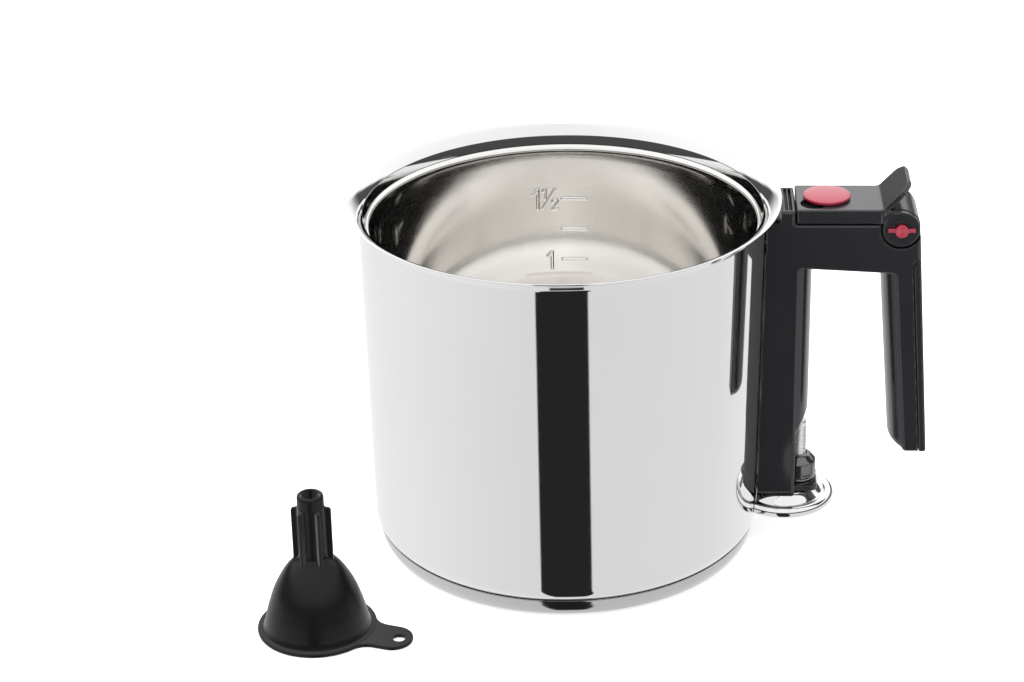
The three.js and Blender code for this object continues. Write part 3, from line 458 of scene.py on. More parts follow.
def outer_shell():
    run = LIP_RADIUS - THROAT_RADIUS
    lip = spline([(THROAT_RADIUS + u * run, THROAT_Z + v * LIP_RISE) for u, v in LIP_SHARES], 8)
    sheet = SHELL_SHEET * 0.8
    under = []
    for i, (r, z) in enumerate(lip):
        ahead, behind = lip[min(i + 1, len(lip) - 1)], lip[max(i - 1, 0)]
        tr, tz = ahead[0] - behind[0], ahead[1] - behind[1]
        size = math.hypot(tr, tz)
        under.append((r + sheet * tz / size, z - sheet * tr / size))
    wall = wall_at(THROAT_Z)
    under = [p for p in under if p[0] > wall + 0.9]
    blend = spline([(wall_at(THROAT_Z - 16), THROAT_Z - 16), (wall_at(THROAT_Z - 2), THROAT_Z - 2),
                    (wall + 0.05, THROAT_Z - 0.2), (wall + 0.4, THROAT_Z + 0.7), under[0]], 8)
    tip_r, tip_z = lip[-1]
    tip = [(tip_r + 0.22, tip_z + 0.04), (LIP_RADIUS - 0.05, tip_z - 0.1),
           (LIP_RADIUS, tip_z - 0.36), (LIP_RADIUS - 0.12, tip_z - 0.6), (tip_r + 0.1, tip_z - 0.68)]
    corner = arc(CORNER_R, CORNER_Z, SHELL_CORNER, -90, 0, 24)
    inner = [(STRIP_FOOT + 0.1, RIM_Z + 0.3), (STRIP_FOOT + 0.4, RIM_Z - 1.5),
             (wall_at(RIM_Z) - SHELL_SHEET, RIM_Z - 6), (wall_at(75) - SHELL_SHEET, 75)]
    profile = [(0, SHELL_FLOOR), (40, SHELL_FLOOR), *corner, (wall_at(60), 60), (wall_at(100), 100),
               *blend, *under[1:], *reversed(tip), *reversed(lip)]
    profile += [(THROAT_RADIUS - 0.1, THROAT_Z - 0.25), (STRIP_FOOT, RIM_Z + 0.45), *inner,
                *arc(CORNER_R, CORNER_Z, SHELL_CORNER - SHELL_SHEET, 0, -90, 10),
                (0, SHELL_FLOOR + SHELL_SHEET)]
    return lathe("pot_shell", profile, 256, sharp_deg=48)


def stroke_distance(u, v, line):
    best = None
    for (ax, ay), (bx, by) in zip(line, line[1:]):
        ex, ey = bx - ax, by - ay
        t = np.clip(((u - ax) * ex + (v - ay) * ey) / (ex * ex + ey * ey), 0, 1)
        d = np.hypot(u - ax - ex * t, v - ay - ey * t)
        best = d if best is None else np.minimum(best, d)
    return best


DIGITS = {
    1: [[(0.12, 0.78), (0.5, 1.0), (0.5, 0.0)]],
    2: [[(0.06, 0.74), (0.1, 0.87), (0.22, 0.97), (0.42, 1.0), (0.62, 0.97), (0.76, 0.86),
         (0.78, 0.7), (0.7, 0.54), (0.06, 0.0), (0.82, 0.0)]],
}


def placed(digit, x, z, height):
    return [[(x + u * height * 0.62, z + v * height) for u, v in line] for line in DIGITS[digit]]


VESSEL_RADIUS = BODY_RADIUS - 4.6
VESSEL_TAPER = 0.02
MARK_HEIGHTS = (RIM_Z - 23.8, RIM_Z - 37.8, RIM_Z - 51.9)


def vessel_at(z):
    return VESSEL_RADIUS - VESSEL_TAPER * (RIM_Z - z)


MARK_STEP = 0.22
MARK_STROKE, MARK_RISE = 0.42, 0.34
SMALL_STROKE, SMALL_RISE = 0.3, 0.26


def litre_marks():
    """Raised marks pressed into the wall: three lines, a 1 and a 1 1/2."""
    bold = [[(-3.0, z), (7.0, z)] for z in MARK_HEIGHTS]
    z = MARK_HEIGHTS[2] - 4.2
    bold += placed(1, -10.2, z, 7.6)
    z = MARK_HEIGHTS[0] - 4.4
    bold += placed(1, -16.4, z, 8.6)
    fine = placed(1, -11.8, z + 4.4, 4.4)
    fine += [[(-11.6, z + 0.2), (-6.2, z + 8.8)]]
    fine += placed(2, -7.4, z - 0.4, 4.4)
    x = np.arange(-20, 11, MARK_STEP)
    zz = np.arange(80, 123, MARK_STEP)
    u, v = np.meshgrid(x, zz, indexing="ij")
    height = np.zeros_like(u)
    for lines, half, rise in ((bold, MARK_STROKE, MARK_RISE), (fine, SMALL_STROKE, SMALL_RISE)):
        for line in lines:
            d = stroke_distance(u, v, line)
            t = np.clip((half + 0.32 - d) / 0.42, 0, 1)
            height = np.maximum(height, rise * t * t * (3 - 2 * t))
    edge = np.minimum.reduce([u - x[0], x[-1] - u, v - zz[0], zz[-1] - v])
    offset = 0.03 * np.clip(edge / 1.5, 0, 1)
    angle = u / VESSEL_RADIUS
    radius = vessel_at(v) - height - offset + 0.002
    co = np.stack([radius * np.sin(angle), radius * np.cos(angle), v], -1).reshape(-1, 3)
    n, m = u.shape
    ids = np.arange(n * m).reshape(n, m)
    faces = np.stack([ids[:-1, :-1], ids[:-1, 1:], ids[1:, 1:], ids[1:, :-1]], -1).reshape(-1, 4)
    return new_object("litre_marks", co, faces[:, ::-1].tolist())


def inner_vessel():
    t = VESSEL_SHEET
    r = vessel_at(RIM_Z - 5)
    rim = STRIP_FOOT - 0.02
    corner_r = vessel_at(VESSEL_FLOOR + VESSEL_CORNER) - VESSEL_CORNER
    corner_z = VESSEL_FLOOR + VESSEL_CORNER
    inside = spline([(r - 0.08, RIM_Z - 9), (r, RIM_Z - 5), (r + 0.1, RIM_Z - 2.4),
                     (r + 0.35, RIM_Z - 1.2), (r + 0.85, RIM_Z - 0.5), (rim - 0.45, RIM_Z - 0.15)], 6)
    bead = [(rim - 0.4, RIM_Z - 0.1), (rim - 0.25, RIM_Z + 0.12), (rim - 0.05, RIM_Z + 0.2),
            (rim, RIM_Z - 0.1), (rim, RIM_Z - 0.8)]
    profile = [
        (0, VESSEL_FLOOR - t), (40, VESSEL_FLOOR - t),
        *arc(corner_r, corner_z, VESSEL_CORNER + t, -90, 0, 12),
        (r + t, RIM_Z - 6), (r + t + 1.2, RIM_Z - 2.4), (rim - 0.6, RIM_Z - 1.2),
        *reversed(bead), *reversed(inside), (vessel_at(100), 100), (vessel_at(70), 70),
        *arc(corner_r, corner_z, VESSEL_CORNER, 0, -90, 28), (40, VESSEL_FLOOR), (0, VESSEL_FLOOR),
    ]
    return join_objects("vessel", [lathe("vessel", profile, 256, sharp_deg=50), litre_marks()])


CAP_SHEET = 0.6
CAP_SHOULDER = 4.2


def base_cap():
    r, foot = CAP_RADIUS, CAP_RADIUS - CAP_SHOULDER
    t = CAP_SHEET
    outside = [(0, 0), (foot - 3, 0), *spline([(foot, 0.02), (foot + 2.2, 0.95), (r - 0.75, 3.0),
                                            (r - 0.12, 5.0), (r, CAP_TOP_Z - 0.35)], 8),
               (r - 0.1, CAP_TOP_Z - 0.06), (r - 0.3, CAP_TOP_Z)]
    inside = [(r - t, CAP_TOP_Z - 0.05), (r - t, 5.9), (r - t - 0.7, 4.0), (foot + 1.5, 1.5),
              (foot - 0.4, t), (0, t)]
    return lathe("heat_cap", outside + inside, 256, sharp_deg=45)


finished(outer_shell(), "outer_shell", "pot", "outer_shell", "outer_shell")
finished(inner_vessel(), "inner_vessel", "pot", "inner_vessel", "inner_vessel")
finished(base_cap(), "base_cap", "pot", "base_cap", "base_cap")

# ---- Dish and stud ----
DISH_RADIUS = 18.8
RIM_SECTION = 2.4
DISH_X = high("dish_bracket").x - DISH_RADIUS - RIM_SECTION
DISH_RIM_Z = low("dish_bracket").z + RIM_SECTION
DISH_TOP = DISH_RIM_Z + 5.0
DISH_FLAT = 11.3
DISH_FALL, DISH_FALL_RUN = 4.2, 6.5
DISH_HALF_SHEET = 0.65
STUD_HOLE = 3.3


def dish_field(x, y, z):
    r = np.hypot(x - DISH_X, y)
    u = np.clip((r - DISH_FLAT) / DISH_FALL_RUN, 0, 1)
    centre = DISH_TOP - DISH_HALF_SHEET - DISH_FALL * u * u * (3 - 2 * u)
    slope = DISH_FALL * 6 * u * (1 - u) / DISH_FALL_RUN
    sheet = (np.abs(z - centre) / np.sqrt(1 + slope ** 2)) - DISH_HALF_SHEET
    sheet = np.maximum(sheet, r - DISH_RADIUS + 0.6)
    rim = np.hypot(r - DISH_RADIUS, z - DISH_RIM_Z) - RIM_SECTION
    wall = np.hypot(x, y) - wall_at(z) - 0.05
    hole = np.hypot(x - STUD.x, y) - STUD_HOLE
    return cut(both(join(rim, sheet, 0.7), -wall, 0.3), hole, 0.3)


STUD_RADIUS = 3.0
THREAD_PITCH, THREAD_DEPTH = 1.0, 0.36


def stud():
    """M6 stud: flange, plain foot, rolled thread and a domed end."""
    r, pitch, depth = STUD_RADIUS, THREAD_PITCH, THREAD_DEPTH
    low_z, top_z = low("stud").z, high("stud").z
    flange = [(0, low_z), (4.6, low_z), (4.8, low_z + 0.2), (4.8, low_z + 1.6), (4.6, low_z + 1.8),
              (r - 0.02, low_z + 1.9), (r - 0.02, low_z + 11), (0, low_z + 11)]
    z0, z1 = low_z + 10.5, top_z - 2.2
    steps, per = 64, 10
    rows = int((z1 - z0) / pitch * per)
    verts, faces = [], []
    for i in range(rows + 1):
        z = z0 + (z1 - z0) * i / rows
        fade = min(1, (z1 - z) / 1.2, (z - z0) / 1.2)
        for k in range(steps):
            phase = (z / pitch - k / steps) % 1
            ridge = 0.5 - 0.5 * math.cos(2 * math.pi * phase)
            rr = r - depth * (1 - ridge ** 0.8) * fade
            t = 2 * math.pi * k / steps
            verts.append((STUD.x + rr * math.cos(t), STUD.y + rr * math.sin(t), z))
    for i in range(rows):
        for k in range(steps):
            j = (k + 1) % steps
            faces.append([i * steps + k, i * steps + j, (i + 1) * steps + j, (i + 1) * steps + k])
    thread = new_object("stud_thread", verts, faces)
    dome = [(0, z1 - 0.5), (r, z1 - 0.5), (r, z1 + 0.1),
            *spline([(r, z1 + 0.2), (r * 0.93, top_z - 0.9), (r * 0.62, top_z - 0.25), (0, top_z)], 6)]
    centre = (STUD.x, STUD.y)
    parts = [lathe("stud", flange, 64, centre), thread, lathe("stud_dome", dome, 64, centre)]
    return join_objects("threaded_stud", parts)


dish = surface("dish", dish_field, low("dish_bracket"), high("dish_bracket"), 0.42)
finished(dish, "chrome", "pot", "dish_bracket", "dish_bracket")
finished(stud(), "zinc", "pot", "stud", "stud")

# ---- Handle body ----
LEG_X = 94.5
LEG_FOOT_Z = 21.0
LEG_BULGE = 5.1
BAR_TOP_Z = 141.3
COLLAR_TOP_Z = high("handle_body").z
COLLAR_END_X = LEVER_LOW.x - 0.35
GRIP_END_Z = low("grip_cover").z
GRIP_OUTER_X = 147.4
GRIP_LEAN = 0.0655
GRIP_DEPTH, GRIP_TAPER = 9.6, 0.012
BAR_DEPTH, BAR_SLOPE = 19.1, 0.055
COVER_DEPTH = 3.0
KNUCKLE_RADIUS = 7.6
CHEEK_RADIUS = 7.3
CHEEK_ROOM_RADIUS, CHEEK_ROOM_DEPTH = 8.2, 2.7
PIN_BORE = 2.6
POCKET_HALF = 9.2
NECK_BORE = 3.7
WELL_FLOOR_Z = 124
WELL_RADIUS = 8.25
SEAT_RADIUS = 11.3
SEAT_FLOOR_Z = low("well_seat").z - 0.3
NECK_Z = middle("filler_neck").z
FOOT_TOP_Z = low("stud_washer").z - 0.3
NUT_TOP_Z = high("thumb_nut").z


def grip_outer(z):
    return GRIP_OUTER_X - GRIP_LEAN * (z - GRIP_END_Z)


def grip_inner(z):
    return grip_outer(z) - GRIP_DEPTH - GRIP_TAPER * (z - GRIP_END_Z)


def bar_under(x):
    return BAR_TOP_Z - BAR_DEPTH - BAR_SLOPE * (x - LEG_X)


def cover_side(growth):
    """The back cover's outline, or with growth the outline of its seat in the leg."""
    z0 = GRIP_END_Z - (2 if growth else 0)
    z1 = high("grip_cover").z + growth
    t = COVER_DEPTH + growth
    out = 5 if growth else 0
    return rounded([
        (grip_outer(z0) - t, z0, 0.5), (grip_outer(z0) + out, z0, 0.9),
        (grip_outer(z1) + out, z1, 0.5), (grip_outer(z1) - t + 1.6, z1, 0.5),
        (grip_outer(z1) - t, z1 - 2.4, 0.5),
    ], True, 3)


def handle_side():
    far = grip_inner(bar_under(130))
    knuckle = arc(PIVOT_X, PIVOT_Z, KNUCKLE_RADIUS, -4, 165, 28)
    return rounded([
        (70, LEG_FOOT_Z), (LEG_X, LEG_FOOT_Z), (LEG_X, bar_under(LEG_X), 1.4),
        (far, bar_under(far), 1.4), (grip_inner(GRIP_END_Z), GRIP_END_Z, 1.6),
        (grip_outer(GRIP_END_Z), GRIP_END_Z, 1.0), *knuckle,
        (COLLAR_END_X, BAR_TOP_Z, 0.6), (COLLAR_END_X, COLLAR_TOP_Z, 0.9), (70, COLLAR_TOP_Z),
    ], True, 6)


HANDLE_SIDE = polygon(handle_side())
COVER_SEAT = polygon(cover_side(0.12))
NUT_RADIUS = 7.4
POCKET_BACK = STUD.x - NUT_RADIUS - 2.4
POCKET_ROOF = high("stud").z + 1.6
POCKET = polygon([
    (POCKET_BACK, FOOT_TOP_Z), (LEG_X + 3, FOOT_TOP_Z), (LEG_X + 3, POCKET_ROOF),
    (LEG_X - 1.6, POCKET_ROOF), (POCKET_BACK, FOOT_TOP_Z + 20),
])


def swell(y):
    """How far the inner leg's crowned face stands out, across its width."""
    v = np.clip(y / (HALF - 0.8), -1, 1)
    return LEG_BULGE * 1.25 * (np.sqrt(1 - 0.96 * v * v) - 0.2)


def handle_field(x, y, z):
    body = prism(HANDLE_SIDE(x, z), y, HALF, 1.5)
    # the inner leg's crown, which slopes away above the stud's pocket
    width = np.abs(y) - (HALF - 0.8)
    ramp_in = ((x - LEG_X) * 7 - (z - 49) * 5.2) / 8.72
    inner = np.maximum((x - LEG_X - swell(y)) * 0.72, width)
    crown_ends = np.maximum(LEG_X - 3 - x, z - bar_under(LEG_X) - 1)
    inner = np.maximum(both(inner, ramp_in, 1.4), crown_ends)
    body = join(body, inner, 0.35)
    # the outer leg's crown, its sides fading into the leg's
    chord = grip_inner(z)
    arch = np.sqrt(np.clip(1 - 0.985 * (y / HALF) ** 2, 0, 1))
    side = np.abs(y) - HALF + 0.2 + 0.5 * np.clip(x - chord, 0, 3)
    outer = both((chord + 1.5 - (LEG_BULGE + 1.5) * arch - x) * 0.72, side, 0.5)
    crown_ends = np.maximum(x - chord - 3, z - bar_under(130) - 1)
    outer = np.maximum(both(outer, GRIP_END_Z - z, 5.5), crown_ends)
    body = join(body, outer, 0.7)
    # the foot plate, the pocket over it, the stud's hole and the finger scoops
    plate = np.hypot(np.maximum(np.abs(x - 92.4) - 8.6, 0), np.maximum(np.abs(y) - 7, 0)) - 3
    body = join(body, prism(plate, z - FOOT_TOP_Z + 1.1, 1.1, 0.4), 0.4)
    body = cut(body, prism(POCKET(x, z), y, POCKET_HALF, 0.8), 0.5)
    to_stud = np.hypot(x - STUD.x, y - STUD.y)
    body = cut(body, rod(to_stud, z, (LEG_FOOT_Z - 3, FOOT_TOP_Z + 1), 3.4, 0.1), 0.3)
    scoop = np.sqrt(((x - STUD.x) / 9.5) ** 2 + ((np.abs(y) - HALF - 2.2) / 3) ** 2
                    + ((z - 37.0) / 19) ** 2)
    body = cut(body, (scoop - 1) * 2.6, 0.5)
    # room for the pot: its wall, and its lip above that
    room = np.where(z < THROAT_Z - 1.2, wall_at(z) + 0.4, LIP_RADIUS + 0.4) - np.hypot(x, y)
    body = both(body, room, 0.3)
    for groove in (COLLAR_END_X - 1.9, COLLAR_END_X - 3.6):
        trench = np.maximum(np.abs(x - groove) * 0.9 + (COLLAR_TOP_Z - z) * 0.35 - 0.55,
                            np.abs(y) - HALF + 2)
        body = cut(body, trench, 0.2)
    # the filler well, its seat and its passage to the neck
    well = np.hypot(x - WELL.x, y)
    body = cut(body, np.maximum(well - WELL_RADIUS, WELL_FLOOR_Z - z), 0.3)
    body = cut(body, np.maximum(well - SEAT_RADIUS, SEAT_FLOOR_Z - z), 0.4)
    body = cut(body, np.maximum(np.hypot(y, z - NECK_Z) - NECK_BORE, x - WELL.x), 0.3)
    # room for the lever's cheeks, and the pin's bore
    pivot = np.hypot(x - PIVOT_X, z - PIVOT_Z)
    cheek_room = np.maximum(pivot - CHEEK_ROOM_RADIUS, HALF - CHEEK_ROOM_DEPTH - np.abs(y))
    body = cut(body, cheek_room, 0.35)
    body = cut(body, pivot - PIN_BORE, 0.2)
    return cut(body, prism(COVER_SEAT(x, z), y, HALF + 4, 0.2), 0.2)


handle = surface("bridge_handle", handle_field, low("handle_body"), high("handle_body"), 0.5)
finished(handle, "handle_body", "pot", "handle_body", "handle_body")

COVER = polygon(cover_side(0))
cover = surface("grip_back", lambda x, y, z: prism(COVER(x, z), y, HALF - 0.2, 0.8),
                low("grip_cover"), high("grip_cover"), 0.5)
finished(cover, "handle_body", "pot", "grip_cover", "grip_cover")

# ---- Nut, washer ----
NUT_Z = low("thumb_nut").z


def nut_field(x, y, z):
    u, v = x - STUD.x, y - STUD.y
    r = np.hypot(u, v)
    top = NUT_TOP_Z
    body = rod(r, z, (NUT_Z, top), NUT_RADIUS, 0.6)
    cone = (r - NUT_RADIUS) * 0.72 + (z - top + 3.2) * 0.69
    body = both(body, cone, 0.9)
    angle = np.arctan2(v, u)
    fold = (angle + math.pi / 6) % (math.pi / 3) - math.pi / 6
    px, py = r * np.cos(fold), r * np.sin(fold)
    panel = block(px, py, z, (6.55, 9), (-2.3, 2.3), (NUT_Z + 1.3, top - 3.4), 0.5)
    body = cut(body, panel, 0.35)
    facet = px * 0.55 + (z - top + 0.6) * 0.83 - 2.9
    body = both(body, facet, 0.25)
    return cut(body, r - 3.4, 0.4)


nut = surface("nut", nut_field, low("thumb_nut"), high("thumb_nut"), 0.22)
finished(nut, "nut", "nut", "thumb_nut", "thumb_nut")
WASHER_BORE, WASHER_RADIUS = 3.3, 6.8
washer_low, washer_high = low("stud_washer").z, high("stud_washer").z
washer = lathe("washer", rounded([
    (WASHER_BORE, washer_low, 0.15), (WASHER_RADIUS, washer_low, 0.15),
    (WASHER_RADIUS, washer_high, 0.25), (WASHER_BORE, washer_high, 0.15),
], True, 3), 64, (STUD.x, STUD.y))
finished(washer, "plain_steel", "washer", "stud_washer", "stud_washer")

# ---- Filler lever ----
PLATE_TOP = 147.7
PLATE_LOW = PLATE_TOP - 2.4
SKIRT_LOW = PLATE_LOW - 3.4
SKIRT_SHEET = 2
LEVER_END = PIVOT_X - 6.45
TAB_TURN = math.radians(46.5)
TAB_REACH, TAB_CHAMFER = 14.4, 4.0
STEM_SLOT = 3.6


def lever_field(x, y, z):
    skirt_end = PIVOT_X - 7.7
    body = block(x, y, z, (LEVER_LOW.x, LEVER_END), (-HALF, HALF), (PLATE_LOW, PLATE_TOP), 0.7)
    rim = block(x, y, z, (LEVER_LOW.x + 0.1, skirt_end), (-HALF, HALF),
                (SKIRT_LOW, PLATE_TOP - 0.6), 0.6)
    hollow = block(x, y, z, (LEVER_LOW.x + SKIRT_SHEET, skirt_end + 6),
                   (-HALF + SKIRT_SHEET, HALF - SKIRT_SHEET), (SKIRT_LOW - 2, PLATE_LOW), 0.5)
    body = join(body, cut(rim, hollow, 0.3), 0.3)
    pivot = np.hypot(x - PIVOT_X, z - PIVOT_Z)
    cheek = prism(pivot - CHEEK_RADIUS, np.abs(y) - HALF + 1.2, 1.2, 0.45)
    web = block(x, np.abs(y), z, (skirt_end - 4, PIVOT_X), (HALF - 2.4, HALF - 0.25),
                (SKIRT_LOW, PIVOT_Z + CHEEK_RADIUS), 0.3)
    body = join(body, join(cheek, web, 0.3), 0.3)
    # the thumb tab, with its two outer corners cut off
    dx, dz = x - (LEVER_END - 1.4), z - (PLATE_TOP - 0.1)
    along = dx * math.cos(TAB_TURN) + dz * math.sin(TAB_TURN)
    up = -dx * math.sin(TAB_TURN) + dz * math.cos(TAB_TURN)
    flat = np.maximum(np.abs(along - TAB_REACH / 2 + 0.5) - TAB_REACH / 2 - 0.5,
                      np.abs(y) - HALF + 0.4)
    corner = (along - TAB_REACH + np.abs(y) - HALF + 0.4 + TAB_CHAMFER) * 0.7071
    flat = both(flat, corner, 1.2)
    body = join(body, prism(flat, up + 1.15, 1.15, 0.45), 0.9)
    # the stem's slot, the notch beside the button, and the pin's bore
    slot = np.hypot(np.maximum(np.abs(x - WELL.x + 1.5) - 1.5, 0), y) - STEM_SLOT
    body = cut(body, slot, 0.2)
    notch = np.maximum(np.hypot(x - WELL.x + 5.4, y + 6.2) - 5.2, PLATE_TOP - 1.5 - z)
    body = cut(body, notch, 0.25)
    return cut(body, pivot - PIN_BORE, 0.2)


lever = surface("filler_cover", lever_field, LEVER_LOW, LEVER_HIGH, 0.36)
finished(lever, "lever", "lever", "filler_lever", "filler_lever")

# ---- Pivot pin ----
PIN_LOW, PIN_HIGH = low("pivot_pin"), high("pivot_pin")
PIN_RADIUS, PIN_NECK = 2.3, 1.7
WING_REACH, WING_HALF = 5.3, 0.8


def pin_field(x, y, z):
    r = np.hypot(x - PIVOT_X, z - PIVOT_Z)
    head = PIN_LOW.y + 1.9
    body = rod(r, y, (head - 0.3, HALF + 0.25), PIN_RADIUS, 0.1)
    body = join(body, rod(r, y, (HALF, PIN_HIGH.y), PIN_NECK, 0.1), 0.1)
    body = join(body, rod(r, y, (PIN_HIGH.y - 0.6, PIN_HIGH.y), PIN_RADIUS, 0.25), 0.2)
    knob = rod(r, y, (PIN_LOW.y, head), 2.6, 0.35)
    dimple = np.sqrt((r / 1.5) ** 2 + ((y - PIN_LOW.y + 0.25) / 0.6) ** 2) - 1
    knob = cut(knob, dimple * 0.5, 0.3)
    wing = block(x, y, z, (PIVOT_X - WING_REACH, PIVOT_X + WING_REACH), (head - 0.9, head),
                 (PIVOT_Z - WING_HALF, PIVOT_Z + WING_HALF), 0.25)
    return join(body, join(knob, wing, 0.12), 0.2)


pin = surface("hinge_pin", pin_field, PIN_LOW, PIN_HIGH, 0.2)
finished(pin, "red", "pin", "pivot_pin", "pivot_pin")

# ---- Valve: button, seal, retainer, spring, and the seat ring ----
BUTTON_R = high("valve_button").y
BUTTON_TOP = high("valve_button").z
BUTTON_Z = PLATE_TOP + 0.25
STEM_LOW = low("valve_button").z
STEM_RADIUS = 2.6
WELL_AT = (WELL.x, 0.0)


def button_profile():
    r, s, bulb = BUTTON_R, STEM_RADIUS, STEM_LOW + 1.2
    return [
        (0, STEM_LOW), *rounded([(0, STEM_LOW), (s, STEM_LOW, 0.4), (s + 0.7, STEM_LOW + 0.6, 0.2),
                                 (s + 0.7, bulb, 0.2), (s, bulb, 0.1), (s, BUTTON_Z, 0.4),
                                 (r - 0.1, BUTTON_Z, 0.25), (r, BUTTON_Z + 1.3, 0.45),
                                 (r - 1.0, BUTTON_Z + 1.36)], steps=5),
        *spline([(r - 1.0, BUTTON_Z + 1.36), (r - 1.5, BUTTON_Z + 1.5), (r * 0.5, BUTTON_TOP - 0.16),
                 (0.0, BUTTON_TOP)], 8),
    ]


def coil(name, centre, radius, wire, z0, z1, turns, axis="z"):
    """Round wire wound along an axis, its end turns closed up."""
    count, ring = int(turns * 40), 10
    verts, faces = [], []
    for i in range(count + 1):
        t = i / count
        a = t * turns * 2 * math.pi
        along = z0 + (z1 - z0) * t
        for k in range(ring):
            b = 2 * math.pi * k / ring
            r, lift = radius + wire * math.cos(b), along + wire * math.sin(b)
            if axis == "z":
                verts.append((centre[0] + r * math.cos(a), centre[1] + r * math.sin(a), lift))
            else:
                verts.append((centre[0] + r * math.cos(a), lift, centre[1] + r * math.sin(a)))
    for i in range(count):
        for k in range(ring):
            j = (k + 1) % ring
            quad = [i * ring + k, (i + 1) * ring + k, (i + 1) * ring + j, i * ring + j]
            faces.append(quad if axis == "z" else quad[::-1])
    faces.append(list(range(ring)))
    faces.append(list(range(count * ring, (count + 1) * ring))[::-1])
    return new_object(name, verts, faces)


button = lathe("button", button_profile(), 128, WELL_AT, sharp_deg=40)
finished(button, "red", "valve", "valve_button", "valve_button")

for node, inner, outer, edge, finish, body in (
    ("valve_seal", 2.9, high("valve_seal").y, 0.4, "silicone", "valve"),
    ("valve_retainer", 2.9, high("valve_retainer").y, 0.25, "spring_wire", "valve"),
    ("well_seat", 8.05, high("well_seat").y, 0.4, "silicone", "pot"),
):
    z0, z1 = low(node).z, high(node).z
    outline = [(inner, z0, edge), (outer, z0, edge), (outer, z1, edge), (inner, z1, edge)]
    ring = lathe(node + "_ring", rounded(outline, True, 4), 96, WELL_AT)
    finished(ring, finish, body, node, node)

spring_low, spring_high = low("valve_spring").z, high("valve_spring").z
VALVE_COIL, VALVE_WIRE, VALVE_TURNS = 5.0, 0.38, 2.5
HINGE_COIL, HINGE_WIRE, HINGE_TURNS = 3.65, 0.42, 5
finished(coil("valve_coil", WELL_AT, VALVE_COIL, VALVE_WIRE, spring_low + 0.4, spring_high - 0.4,
              VALVE_TURNS),
         "spring_wire", "lever", "valve_spring", "valve_spring")
finished(coil("hinge_coil", (PIVOT_X, PIVOT_Z), HINGE_COIL, HINGE_WIRE,
              low("lever_spring").y + 0.5, high("lever_spring").y - 0.5, HINGE_TURNS, "y"),
         "spring_wire", "pot", "lever_spring", "lever_spring")

# ---- Funnel ----
MOUTH, NECK = 23.5, 32.2
FUNNEL_AT = (FUNNEL_LOW.x + MOUTH, FUNNEL_LOW.y + MOUTH)
FUNNEL_H = FUNNEL_HIGH.z
SPOUT_RADIUS, FUNNEL_WALL = 5.4, 1.3
TAB_HALF, TAB_END, TAB_HOLE_AT, TAB_HOLE = 8.0, 32.0, 34.7, 2.4
TAB_AZIMUTH = math.radians(-16.8)


def funnel_bell():
    shares = [(0.875, 0.11), (0.847, 0.205), (0.79, 0.36), (0.685, 0.58), (0.532, 0.79), (0.405, 0.91),
              (0.27, 0.99)]
    wall = FUNNEL_WALL
    bell = spline([(u * MOUTH, v * NECK) for u, v in shares], 8)
    inner = [(r - wall * 0.95, z - wall * 0.5) for r, z in bell if r > 6.6]
    s, h = SPOUT_RADIUS, FUNNEL_H
    rim = rounded([(bell[0][0] - wall, 1.4), (MOUTH - 3, 0), (MOUTH, 0, 0.5), (MOUTH, 1.6, 0.5),
                   (MOUTH - 2.2, 1.7, 0.6), bell[1]], steps=5)
    profile = [
        *rim[1:], *bell[2:-3], (s + 0.7, NECK + 0.1), (s + 0.2, NECK + 1.0), (s, NECK + 3),
        (s - 0.15, h - 1.2), (s - 0.35, h - 0.4), (s - 0.8, h), (s - wall - 0.1, h),
        (s - wall - 0.4, h - 0.3), (s - wall - 0.4, h - 2), (s - wall, NECK - 0.6),
        *reversed(inner), rim[1],
    ]
    return lathe("funnel_bell", profile, 160, FUNNEL_AT, sharp_deg=42)


RIB_REACH = 7.85
RIB_SIDE = polygon(rounded([(3.9, 25.5), (6.6, 27.6), (RIB_REACH, 30.0, 1.5), (RIB_REACH, 53.8, 1.3),
                            (3.9, 54.0)], True, 5))


def rib_field(x, y, z):
    u, v = x - FUNNEL_AT[0], y - FUNNEL_AT[1]
    r = np.hypot(u, v)
    angle = np.arctan2(v, u)
    fold = (angle + math.pi / 6) % (math.pi / 3) - math.pi / 6
    rib = prism(RIB_SIDE(r * np.cos(fold), z), r * np.sin(fold), 0.7, 0.3)
    tube = np.maximum(np.abs(r - 4.85) - 0.5, np.maximum(z - 55.0, 27.5 - z))
    return join(rib, tube, 0.8)


def tab_field(x, y, z):
    u, v = x - FUNNEL_AT[0], y - FUNNEL_AT[1]
    along = u * math.cos(TAB_AZIMUTH) + v * math.sin(TAB_AZIMUTH)
    across = -u * math.sin(TAB_AZIMUTH) + v * math.cos(TAB_AZIMUTH)
    end = np.hypot(np.maximum(along - TAB_END, 0), across) - TAB_HALF
    bridge = np.maximum(np.abs(across) - TAB_HALF, along - TAB_END)
    ring = np.hypot(along, across)
    flat = join(np.minimum(end, bridge), np.abs(ring - 22.6) - 0.7, 5.0)
    flat = np.maximum(flat, 21.6 - ring)
    flat = cut(flat, np.hypot(along - TAB_HOLE_AT, across) - TAB_HOLE, 0.2)
    return prism(flat, z - 0.75, 0.75, 0.35)


ribs = surface("funnel_ribs", rib_field, (FUNNEL_AT[0] - 8, FUNNEL_AT[1] - 8, 26),
               (FUNNEL_AT[0] + 8, FUNNEL_AT[1] + 8, 55.5), 0.3)
tab = surface("funnel_tab", tab_field, (FUNNEL_AT[0], FUNNEL_LOW.y, 0),
              (FUNNEL_HIGH.x, FUNNEL_AT[1] + 12, 1.5), 0.3)
funnel = join_objects("filling_funnel", [funnel_bell(), ribs, tab])
finished(funnel, "funnel", "funnel", "funnel", "funnel")
funnel.visible_glossy = False

